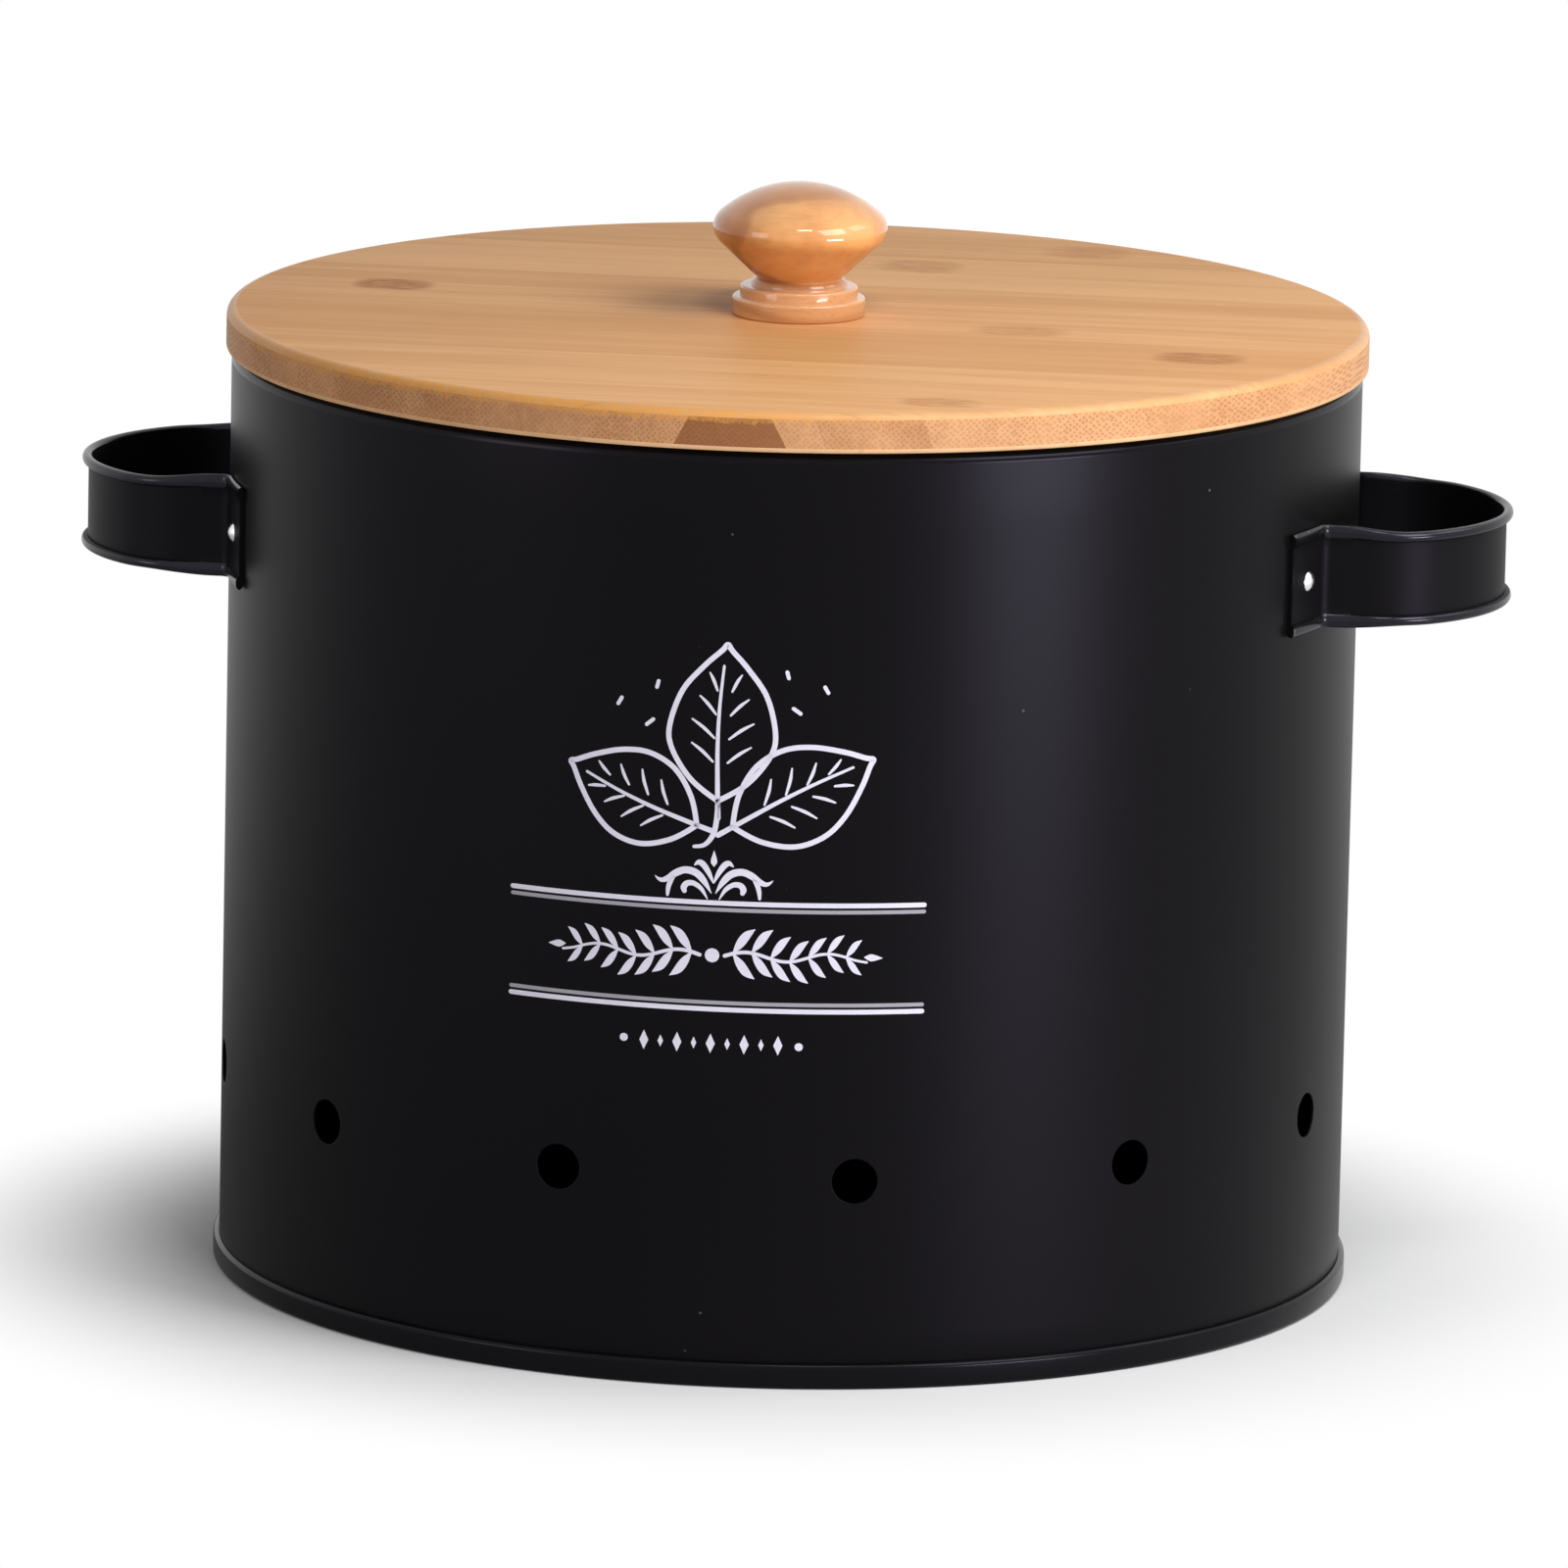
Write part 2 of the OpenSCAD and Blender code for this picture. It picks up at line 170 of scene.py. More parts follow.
def turned(name, outline, finish, steps=240, crease=CREASE):
    """A piece turned round Z. The outline runs anticlockwise, as (radius, height)."""
    points, rows = [], []
    for r, z in outline:
        if r < ON_AXIS:
            rows.append([len(points)] * steps)
            points.append((0, 0, z))
        else:
            rows.append(list(range(len(points), len(points) + steps)))
            points += [(r * math.cos(TAU * j / steps), r * math.sin(TAU * j / steps), z)
                       for j in range(steps)]
    faces = []
    for row, after in zip(rows, rows[1:] + rows[:1]):
        if row[0] == row[1] and after[0] == after[1]:
            continue
        for j in range(steps):
            k = (j + 1) % steps
            corners = [row[j], row[k], after[k], after[j]]
            faces.append([c for i, c in enumerate(corners) if c != corners[i - 1]])
    return new_piece(name, points, faces, finish, crease)


def finish_again(piece, finish, chosen):
    """Gives a second finish to the faces whose centres are chosen."""
    piece.data.materials.append(finish)
    second = len(piece.data.materials) - 1
    for face in piece.data.polygons:
        if chosen(face.center):
            face.material_index = second


def make_plain(piece, crease=CREASE):
    """Turns what the modifiers give into the piece's own plain mesh."""
    graph = bpy.context.evaluated_depsgraph_get()
    made = bpy.data.meshes.new_from_object(piece.evaluated_get(graph))
    piece.modifiers.clear()
    old, piece.data = piece.data, made
    made.name = piece.name
    bpy.data.meshes.remove(old)
    smooth(made, crease)
    return piece


def new_tree(name, inputs):
    """An empty Geometry Nodes tree with named inputs, and its two end nodes."""
    tree = bpy.data.node_groups.new(name, "GeometryNodeTree")
    face = tree.interface
    face.new_socket("Geometry", in_out="INPUT", socket_type="NodeSocketGeometry")
    for label, kind in inputs:
        face.new_socket(label, in_out="INPUT", socket_type="NodeSocket" + kind)
    face.new_socket("Geometry", in_out="OUTPUT", socket_type="NodeSocketGeometry")
    return tree, tree.nodes.new("NodeGroupInput"), tree.nodes.new("NodeGroupOutput")


def tree_node(tree, kind, sockets, **settings):
    """Adds a node to a tree, and feeds its sockets with values or with other nodes' outputs."""
    node = tree.nodes.new(kind)
    for key, value in settings.items():
        setattr(node, key, value)
    for key, value in sockets.items():
        if isinstance(value, bpy.types.NodeSocket):
            tree.links.new(value, node.inputs[key])
        else:
            node.inputs[key].default_value = value
    return node


def tree_math(tree, operation, first, second=0.0):
    """One step of arithmetic in a tree, with numbers or other nodes' outputs."""
    return tree_node(tree, "ShaderNodeMath", {0: first, 1: second}, operation=operation).outputs[0]


def use_tree(piece, tree, values, crease=CREASE):
    """Runs a tree on a piece with its named values, and keeps the result as a plain mesh."""
    modifier = piece.modifiers.new(tree.name, "NODES")
    modifier.node_group = tree
    for item in tree.interface.items_tree:
        if item.in_out == "INPUT" and item.name in values:
            modifier[item.identifier] = values[item.name]
    return make_plain(piece, crease)


def copy_onto(tree, points, start, rotation):
    """Copies the piece that the tree is given onto points."""
    return tree_node(tree, "GeometryNodeInstanceOnPoints",
                     {"Points": points, "Instance": start.outputs["Geometry"],
                      "Rotation": rotation}).outputs[0]


def end_tree(tree, geometry, start, end):
    """Every tree ends by making its copies real and giving them their finish."""
    real = tree_node(tree, "GeometryNodeRealizeInstances", {"Geometry": geometry})
    welded = tree_node(tree, "GeometryNodeMergeByDistance",
                       {"Geometry": real.outputs[0], "Distance": WELD_DISTANCE})
    painted = tree_node(tree, "GeometryNodeSetMaterial",
                        {"Geometry": welded.outputs[0], "Material": start.outputs["Finish"]})
    tree.links.new(painted.outputs[0], end.inputs[0])


# Finishes

class Finish:
    """A material whose nodes are added one by one. Patterns read the object's own coordinates."""

    def __init__(self, name):
        self.material = bpy.data.materials.new(name)
        self.material.use_nodes = True
        self.tree = self.material.node_tree
        self.shader = self.tree.nodes["Principled BSDF"]
        self.place = self.tree.nodes.new("ShaderNodeTexCoord").outputs["Object"]

    def node(self, kind, sockets, **settings):
        """Adds a node to the material, and feeds its sockets."""
        return tree_node(self.tree, kind, sockets, **settings)

    def math(self, operation, first, second=0.0, third=0.0):
        return self.node("ShaderNodeMath", {0: first, 1: second, 2: third}, operation=operation).outputs[0]

    def times(self, first, second):
        return self.math("MULTIPLY", first, second)

    def plus(self, value, factor, more):
        """The value times the factor, plus more."""
        return self.math("MULTIPLY_ADD", value, factor, more)

    def less(self, first, second):
        return self.math("SUBTRACT", first, second)

    def size(self, value):
        """The value without its sign."""
        return self.math("ABSOLUTE", value)

    def axes(self):
        split = self.node("ShaderNodeSeparateXYZ", {0: self.place})
        return split.outputs[0], split.outputs[1], split.outputs[2]

    def vector(self, x, y, z):
        return self.node("ShaderNodeCombineXYZ", {0: x, 1: y, 2: z}).outputs[0]

    def noise(self, vector, scale, detail=2.0, roughness=0.5):
        return self.node("ShaderNodeTexNoise", {"Vector": vector, "Scale": scale, "Detail": detail,
                                                "Roughness": roughness}).outputs["Fac"]

    def streaks(self, x, y, z, detail=2.0, roughness=0.5):
        """Noise that is drawn out: each axis comes with its own number of grains per metre."""
        return self.noise(self.vector(x, y, z), 1, detail, roughness)

    def cells(self, vector, scale, randomness=1.0):
        return self.node("ShaderNodeTexVoronoi",
                         {"Vector": vector, "Scale": scale, "Randomness": randomness}).outputs["Distance"]

    def between(self, value, low, high, to_low=0.0, to_high=1.0):
        """A soft step, from to_low where the value is under low, to to_high where it is over high."""
        return self.node("ShaderNodeMapRange", {0: value, 1: low, 2: high, 3: to_low, 4: to_high},
                         interpolation_type="SMOOTHSTEP").outputs[0]

    def mix(self, share, first, second):
        return self.node("ShaderNodeMix", {0: share, 6: first, 7: second}, data_type="RGBA").outputs[2]

    def set(self, **sockets):
        """Feeds the shader's sockets, whose names have _ for a space."""
        for key, value in sockets.items():
            socket = self.shader.inputs[key.replace("_", " ")]
            if isinstance(value, bpy.types.NodeSocket):
                self.tree.links.new(value, socket)
            else:
                socket.default_value = value

    def bump(self, height, strength, distance):
        node = self.node("ShaderNodeBump", {"Height": height, "Strength": strength, "Distance": distance})
        self.tree.links.new(node.outputs[0], self.shader.inputs["Normal"])


def colour(red, green, blue):
    """An opaque colour, in linear light."""
    return (red, green, blue, 1.0)


PAINT_DARK = colour(0.0026, 0.0023, 0.0024)
PAINT_SHEEN = colour(0.80, 0.76, 1.0)
DUST = colour(0.2, 0.2, 0.2)
# The height where the bamboo strips have their plain width, since some of them lean
STRIP_Z = 201 * MM
BUNDLE_TINT = (0.62, 0.5, 0.42)
EDGE_ORANGE = colour(0.72, 0.33, 0.075)
KNUCKLE_BROWN = colour(0.38, 0.135, 0.032)


def black_paint(name, light, roughness, uneven, level, grain):
    """Powder coat: a fine orange-peel grain, slightly uneven gloss, and a few specks of dust."""
    look = Finish(name)
    cloud = look.noise(look.place, 14, 3)
    fine = look.noise(look.place, 2600, 2)
    peel = look.noise(look.place, 420, 2)
    speck = look.math("LESS_THAN", look.cells(look.place, 70), 0.020)
    tone = look.mix(cloud, PAINT_DARK, light)
    look.set(Base_Color=look.mix(look.times(speck, 0.35), tone, DUST))
    look.set(Roughness=look.plus(cloud, uneven, roughness))
    look.set(Specular_IOR_Level=level, Specular_Tint=PAINT_SHEEN)
    look.bump(look.plus(peel, 0.6, fine), grain, 0.03 * MM)
    return look.material


def bare_metal(name, tone, roughness):
    """Bare steel with fine scratches."""
    look = Finish(name)
    x, y, z = look.axes()
    scratch = look.streaks(look.times(x, 900), look.times(y, 900), look.times(z, 5200))
    look.set(Base_Color=look.mix(scratch, colour(*[t * 0.86 for t in tone]), colour(*tone)), Metallic=1.0)
    look.set(Roughness=look.plus(scratch, 0.12, roughness))
    look.bump(scratch, 0.15, 0.02 * MM)
    return look.material


def bamboo_bundles(look, shade, run, side, dark, rows, weave, start):
    """Adds bundles of fibre in diagonal rows. They are dashes on a face, where start moves them
    along each strip, and dots on an end. rows are their numbers per metre across and up, and
    weave says how strongly they show, at least and at most."""
    wavy = look.plus(look.noise(look.place, 90, 1), 1.6 * MM, side)
    level = look.times(look.axes()[2], rows[1])
    along = 0.2 if start is None else look.plus(run, 14, start)
    bundle = look.cells(look.vector(along, look.plus(wavy, rows[0], level),
                                    look.less(look.times(wavy, rows[0]), level)), 1, 0.4)
    spot = look.between(bundle, 0.12, 0.5, 1, 0)
    show = look.between(look.noise(look.place, 55, 1), 0.3, 0.7, *weave)
    return look.mix(look.times(spot, show), shade, colour(*[d * k for d, k in zip(dark, BUNDLE_TINT)]))


def bamboo_joint(look, shade, side, joint):
    """Adds the front end of one darker strip, which widens downwards."""
    x, y, z = look.axes()
    reach = look.plus(look.less(STRIP_Z, z), joint["widening"], joint["half_width"])
    inside = look.math("LESS_THAN", look.size(look.less(side, joint["centre"])), reach)
    front = look.times(inside, look.math("LESS_THAN", y, 0.0))
    return look.mix(look.times(front, 0.8), shade, joint["tint"])


def bamboo_edge(look, shade, strength):
    """Adds the orange, frayed line on the lid's upper edge. Towards the right it fades out as painted light,
    so the edge reads paler where the light falls strongly.
    """
    x, y, z = look.axes()
    out = look.node("ShaderNodeVectorMath", {0: look.vector(x, y, 0.0)}, operation="LENGTH").outputs["Value"]
    fray = look.noise(look.place, 620, 2)
    near = look.between(look.plus(fray, 1.6 * MM, out), LID_R - 1.3 * MM, LID_R - 0.3 * MM)
    high = look.between(look.plus(fray, 2.4 * MM, z), LID_TOP_Z - 1.5 * MM, LID_TOP_Z - 0.9 * MM)
    edge = look.times(look.times(near, high), look.between(fray, 0.36, 0.58, 0.5, 1))
    # Painted light: towards the right the orange is taken out, so the lit side of the edge reads paler
    edge = look.times(edge, look.between(x, -10 * MM, 50 * MM, strength, 0.1))
    return look.mix(edge, shade, EDGE_ORANGE)


def bamboo_knuckle(look, shade, at_x, at_y, half_length, half_width, depth):
    """Adds one growth ring of the cane, as a smeared brown mark on the face. The sizes are in mm."""
    x, y, z = look.axes()
    off_x = look.math("DIVIDE", look.less(x, at_x * MM), half_length * MM)
    off_y = look.math("DIVIDE", look.less(y, at_y * MM), half_width * MM)
    reach = look.math("ADD", look.math("POWER", look.size(off_x), 2.0),
                      look.math("POWER", look.size(off_y), 4.0))
    smear = look.streaks(look.times(x, 170), look.times(y, 1100), 0.0, 3, 0.6)
    mark = look.times(look.between(reach, 0.2, 1.0, 1, 0), look.between(smear, 0.36, 0.56, 0.3, 1))
    return look.mix(look.times(mark, depth), shade, KNUCKLE_BROWN)


def bamboo(name, grain, light, dark, strip, rows, weave, lean=0.0, joint=None, knuckles=(),
           roughness=0.38, uneven=0.12, level=0.03, rim=0.0):
    """Bamboo strips glued side by side. Their fibres run along the grain, so they show as long
    streaks on a face, and as dots on an end. strip is a strip's width and lean how its sides
    slant, joint is one strip of another colour, and rim is how orange the edge is."""
    look = Finish(name)
    x, y, z = look.axes()
    run, side = (x, y) if grain == "X" else (y, x)
    number = look.math("DIVIDE", look.plus(look.less(z, STRIP_Z), lean, side), strip)
    own = look.node("ShaderNodeTexWhiteNoise", {"W": look.math("FLOOR", number)},
                    noise_dimensions="1D").outputs["Value"]
    start = look.times(own, 3.0)
    streak = look.streaks(look.plus(run, 20, start), look.times(side, 420), look.times(z, 420), 4, 0.65)
    band = look.streaks(look.plus(run, 4, start), look.times(side, 80), look.times(z, 80))
    tone = look.plus(own, 0.30, look.plus(streak, 0.75, look.times(band, 0.75)))
    shade = look.mix(look.between(tone, 0.55, 1.15), colour(*dark), colour(*light))
    shade = bamboo_bundles(look, shade, run, side, dark, rows, weave, start if grain == "X" else None)
    if joint:
        shade = bamboo_joint(look, shade, side, joint)
    if rim:
        shade = bamboo_edge(look, shade, rim)
    for knuckle in knuckles:
        shade = bamboo_knuckle(look, shade, *knuckle)
    off_middle = look.size(look.less(look.math("FRACT", number), 0.5))
    seam = look.between(off_middle, 0.488, 0.5)
    shade = look.mix(look.times(seam, 0.22), shade, colour(*[d * 0.5 for d in dark]))
    look.set(Base_Color=shade, Roughness=look.plus(streak, uneven, roughness), Specular_IOR_Level=level)
    look.bump(look.less(streak, look.times(seam, 0.8)), 0.16, 0.06 * MM)
    return look.material


def varnished_wood(name):
    """Close-grained orange wood under a thick gloss varnish, with growth rings cut by the lathe.
    The rings lie round a point inside the knob, and the wood near that point is paler."""
    look = Finish(name)
    x, y, z = look.axes()
    bent = look.less(look.noise(look.place, 70, 2), 0.5)
    ring_x = look.plus(bent, 3 * MM, look.times(look.less(x, 3.5 * MM), 0.6))
    ring_y = look.plus(bent, 3 * MM, look.times(y, 0.35))
    ring_z = look.less(z, 222.5 * MM)
    flat = look.plus(ring_x, ring_x, look.times(ring_y, ring_y))
    across = look.math("SQRT", look.plus(ring_z, ring_z, flat))
    late = look.between(look.math("PINGPONG", look.times(across, 290.0), 1.0), 0.6, 1.0)
    pores = look.streaks(look.times(x, 160), look.times(y, 1500), look.times(z, 1500), 2, 0.6)
    cloud = look.noise(look.place, 110, 2)
    border = look.between(look.size(look.less(across, 10 * MM)), 0.1 * MM, 0.6 * MM, 0.5, 0)
    shade = look.mix(look.between(across, 9.8 * MM, 10.6 * MM), colour(0.78, 0.385, 0.135),
                     colour(0.62, 0.27, 0.095))
    shade = look.mix(look.between(cloud, 0.4, 0.7, 0, 0.5), shade, colour(0.52, 0.20, 0.06))
    shade = look.mix(border, shade, colour(0.42, 0.15, 0.04))
    shade = look.mix(look.between(z, 211.5 * MM, 213 * MM, 0.6, 0), shade, colour(0.80, 0.45, 0.22))
    shade = look.mix(look.times(late, 0.4), shade, colour(0.40, 0.145, 0.042))
    shade = look.mix(look.between(pores, 0.5, 0.75, 0, 0.25), shade, colour(0.40, 0.15, 0.045))
    look.set(Base_Color=shade, Roughness=look.plus(pores, 0.1, 0.30))
    look.set(Specular_IOR_Level=0.1, Coat_Weight=1.0, Coat_Roughness=0.06, Coat_IOR=1.45)
    look.bump(pores, 0.05, 0.03 * MM)
    return look.material


def rubber(name):
    """Milky silicone rubber, matt from its mould."""
    look = Finish(name)
    grain = look.noise(look.place, 1800, 2)
    cloud = look.noise(look.place, 40, 2)
    look.set(Base_Color=look.mix(cloud, colour(0.55, 0.55, 0.52), colour(0.66, 0.66, 0.63)))
    look.set(Roughness=look.plus(grain, 0.1, 0.45), Subsurface_Weight=0.25, Subsurface_Scale=2 * MM)
    look.bump(grain, 0.2, 0.02 * MM)
    return look.material


def ink(name, tone):
    """Screen-printed ink, with a faint mesh in its surface."""
    look = Finish(name)
    mesh = look.noise(look.place, 3200, 1)
    cloud = look.noise(look.place, 120, 2)
    look.set(Base_Color=look.mix(cloud, colour(*[t * 0.88 for t in tone]), colour(*tone)))
    look.set(Roughness=look.plus(mesh, 0.1, 0.5), Specular_IOR_Level=0.4)
    look.bump(mesh, 0.15, 0.01 * MM)
    return look.material


body_paint = black_paint("body satin black", colour(0.0038, 0.0033, 0.0034),
                         roughness=0.32, uneven=0.04, level=0.078, grain=0.20)
handle_paint = black_paint("handle gloss black", colour(0.0036, 0.0032, 0.0033),
                           roughness=0.44, uneven=0.06, level=0.09, grain=0.10)
bead_paint = black_paint("bead gloss black", colour(0.0036, 0.0032, 0.0033),
                         roughness=0.20, uneven=0.05, level=0.34, grain=0.08)
rim_paint = black_paint("rim gloss black", colour(0.0036, 0.0032, 0.0033),
                        roughness=0.20, uneven=0.05, level=0.11, grain=0.08)
rivet_steel = bare_metal("bright rivet steel", (0.86, 0.87, 0.88), 0.18)
screw_steel = bare_metal("zinc plated steel", (0.66, 0.67, 0.66), 0.28)
# Each knuckle's x and y, its half length along the grain and half width in mm, and how dark it is
KNUCKLES = (
    (-89.3, 14.9, 10.0, 7.5, 1.0),
    (17.4, 67.1, 11.0, 9.0, 0.45),
    (50.6, 94.6, 11.0, 9.0, 0.40),
    (48.6, -9.8, 12.0, 7.0, 0.40),
    (89.4, -34.0, 11.0, 7.5, 0.75),
    (43.2, -100.9, 10.0, 6.0, 0.48),
)
DARK_JOINT = {"centre": 2.5 * MM, "half_width": 10.1 * MM, "widening": 0.52,
              "tint": colour(0.23, 0.085, 0.032)}
bamboo_face = bamboo("bamboo face", "X", (0.80, 0.445, 0.200), (0.66, 0.320, 0.120), strip=19.6 * MM,
                     rows=(500, 500), weave=(0.02, 0.20), knuckles=KNUCKLES, rim=0.7)
# The rounded edge is glossier, and its colours are a little darker than the face's: painted shade that
# offsets the strong light on the rounding
bamboo_rim_with_painted_shade = bamboo("bamboo edge with painted shade", "X", (0.70, 0.400, 0.190), (0.58, 0.290, 0.120), strip=19.6 * MM,
                    rows=(500, 500), weave=(0.02, 0.20), roughness=0.30, uneven=0.06, level=0.16, rim=0.85)
bamboo_core = bamboo("bamboo core", "Y", (0.64, 0.345, 0.172), (0.50, 0.248, 0.118), strip=21.2 * MM,
                     rows=(800, 800), weave=(0.28, 0.62), lean=0.35, joint=DARK_JOINT, rim=0.6)
bamboo_base = bamboo("bamboo bottom face", "X", (0.74, 0.46, 0.25), (0.62, 0.37, 0.19), strip=19.6 * MM,
                     rows=(700, 700), weave=(0.02, 0.20))
bamboo_plug = bamboo("bamboo plug", "Y", (0.76, 0.45, 0.20), (0.62, 0.345, 0.145), strip=22 * MM,
                     rows=(700, 700), weave=(0.05, 0.30))
knob_wood = varnished_wood("varnished knob wood")
silicone = rubber("seal rubber")
white_ink = ink("white ink", (0.74, 0.72, 0.84))
grey_ink = ink("grey ink", (0.34, 0.33, 0.38))


# The drum and its base

def vent_panel():
    """One panel of the drum's sheet, from foot to rolled rim, facing +X. The vent sits in a square
    of cells in its middle, and rings of faces lead from the square down to the hole."""
    cells, beside, below, above = 16, 8, 3, 10
    left, right, low, high = beside, beside + cells, below, below + cells
    half = TAU / VENT_COUNT / 2
    zone = math.radians(5)
    reach = zone * DRUM_R
    square_low, square_high = VENT_Z - reach, VENT_Z + reach
    wide = [-half + (half - zone) * i / beside for i in range(beside)]
    columns = wide + [-zone + 2 * zone * i / cells for i in range(cells + 1)] + [-w for w in reversed(wide)]
    heights = [DRUM_SHEET + (square_low - DRUM_SHEET) * i / below for i in range(below)]
    heights += [square_low + 2 * reach * i / cells for i in range(cells + 1)]
    heights += [square_high + (RIM_ROLL_CENTRE_Z - square_high) * i / above for i in range(1, above)]
    rows = [(DRUM_R, h) for h in heights]
    rows += arc((RIM_ROLL_CENTRE_R, RIM_ROLL_CENTRE_Z), RIM_ROLL_R, 0, 270, 24)
    points, index, faces = [], {}, []
    for i, (r, z) in enumerate(rows):
        for j, turn in enumerate(columns):
            if low < i < high and left < j < right:
                continue
            index[i, j] = len(points)
            points.append((r * math.cos(turn), r * math.sin(turn), z))
    for i in range(len(rows) - 1):
        for j in range(len(columns) - 1):
            if not (low <= i < high and left <= j < right):
                faces.append((index[i, j], index[i, j + 1], index[i + 1, j + 1], index[i + 1, j]))
    # The square round the vent, from its lower left corner anticlockwise, and rings down to the hole
    border = [(low, left + k) for k in range(cells)] + [(low + k, right) for k in range(cells)]
    border += [(high, right - k) for k in range(cells)] + [(high - k, left) for k in range(cells)]
    outer = [index[b] for b in border]
    for share in (0.72, 0.46, 0.25, 0.11, 0.03, 0):
        inner = []
        for b in border:
            side, up = columns[b[1]] * DRUM_R, rows[b[0]][1] - VENT_Z
            corner = math.atan2(up, side)
            s = side * share + VENT_R * math.cos(corner) * (1 - share)
            u = up * share + VENT_R * math.sin(corner) * (1 - share)
            inner.append(len(points))
            points.append((DRUM_R * math.cos(s / DRUM_R), DRUM_R * math.sin(s / DRUM_R), VENT_Z + u))
        count = len(outer)
        faces += [(outer[k], outer[(k + 1) % count], inner[(k + 1) % count], inner[k]) for k in range(count)]
        outer = inner
    return points, faces


def ring_tree():
    """Copies a panel round the drum's axis."""
    tree, start, end = new_tree("ring of panels", (
        ("Count", "Int"), ("First angle", "Float"), ("Step", "Float"), ("Finish", "Material")))
    row = tree_node(tree, "GeometryNodeMeshLine", {"Count": start.outputs["Count"], "Offset": (0, 0, 0)})
    number = tree_node(tree, "GeometryNodeInputIndex", {}).outputs[0]
    turn = tree_node(tree, "ShaderNodeMath",
                     {0: number, 1: start.outputs["Step"], 2: start.outputs["First angle"]},
                     operation="MULTIPLY_ADD").outputs[0]
    facing = tree_node(tree, "ShaderNodeCombineXYZ", {2: turn}).outputs[0]
    end_tree(tree, copy_onto(tree, row.outputs[0], start, facing), start, end)
    return tree


def make_drum():
    """The rolled steel wall: panels with vents all round, given the sheet's thickness."""
    drum = new_piece("drum_wall", *vent_panel(), body_paint)
    step = TAU / VENT_COUNT
    use_tree(drum, ring_tree(), {"Count": VENT_COUNT, "First angle": step / 2 - TAU / 4, "Step": step,
                                 "Finish": body_paint})
    sheet = drum.modifiers.new("sheet", "SOLIDIFY")
    sheet.thickness = DRUM_SHEET
    sheet.offset = -1
    edges = drum.modifiers.new("punched edges", "BEVEL")
    edges.width = 0.12 * MM
    edges.segments = 2
    edges.limit_method = "ANGLE"
    edges.angle_limit = math.radians(50)
    make_plain(drum, 50)
    finish_again(drum, rim_paint, lambda c: c.z > RIM_ROLL_CENTRE_Z + 0.2 * MM)
    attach(drum, "bin")
    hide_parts("body_wall")


def make_lap_seam():
    """The lap at the back, where the sheet's edge lies over itself."""
    half = LAP_WIDTH / 2 / DRUM_R
    out = DRUM_SHEET
    sunk_r = DRUM_R - 0.05 * MM
    low, high = BASE_SEAM_H, RIM_ROLL_CENTRE_Z
    across = [(-half, 0.0), (-half, out * 0.7), (-half * 0.96, out * 0.93), (-half * 0.9, out)]
    across += [(half * s, out) for s in (-0.6, -0.3, 0, 0.3, 0.6)]
    across += [(-a, o) for a, o in across[3::-1]]
    heights = [low + (high - low) * i / 24 for i in range(25)]
    points = [((sunk_r + o) * math.sin(-a), (sunk_r + o) * math.cos(a), h)
              for h in heights for a, o in across]
    wide = len(across)
    faces = [(r * wide + c, r * wide + (c + 1) % wide, (r + 1) * wide + (c + 1) % wide, (r + 1) * wide + c)
             for r in range(len(heights) - 1) for c in range(wide)]
    faces += [tuple(range(wide)), tuple(range(len(points) - 1, len(points) - wide - 1, -1))]
    seam = new_piece("drum_lap_seam", points, faces, body_paint)
    face_outwards(seam.data)
    smooth(seam.data, 60)
    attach(seam, "bin")


def weld_tree():
    """Sets weld marks one above the other up the seam."""
    tree, start, end = new_tree("row of weld marks", (
        ("Count", "Int"), ("Lowest", "Vector"), ("Pitch", "Vector"), ("Finish", "Material")))
    row = tree_node(tree, "GeometryNodeMeshLine", {"Count": start.outputs["Count"],
                                                   "Start Location": start.outputs["Lowest"],
                                                   "Offset": start.outputs["Pitch"]})
    end_tree(tree, copy_onto(tree, row.outputs[0], start, (-TAU / 4, 0, 0)), start, end)
    return tree


def make_weld_marks():
    """The marks of spot welds along the lap: shallow dents with a raised ring."""
    mark = ((0, -0.1), (1.5, -0.1), (1.5, 0.0), (1.3, 0.09), (1.05, 0.10), (0.8, 0.05), (0, 0.02))
    lowest, pitch = 16 * MM, 12 * MM
    marks = turned("drum_weld_marks", [(r * MM, z * MM) for r, z in mark], body_paint, 20, 50)
    use_tree(marks, weld_tree(), {"Count": 15, "Lowest": (0, DRUM_R + 0.55 * MM, lowest),
                                  "Pitch": (0, 0, pitch), "Finish": body_paint})
    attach(marks, "bin")


def pressed_middle(below):
    """The base's panel from the axis out to its low ring: its upper side, or a side below it."""
    high, low, bend = PAN_HIGH_Z - below, PAN_LOW_Z - below, 1 * MM
    return ([(0, high)] + arc((95.2 * MM, high - bend), bend, 90, 68, 3)
            + arc((99.5 * MM, low + bend), bend, 248, 270, 3))


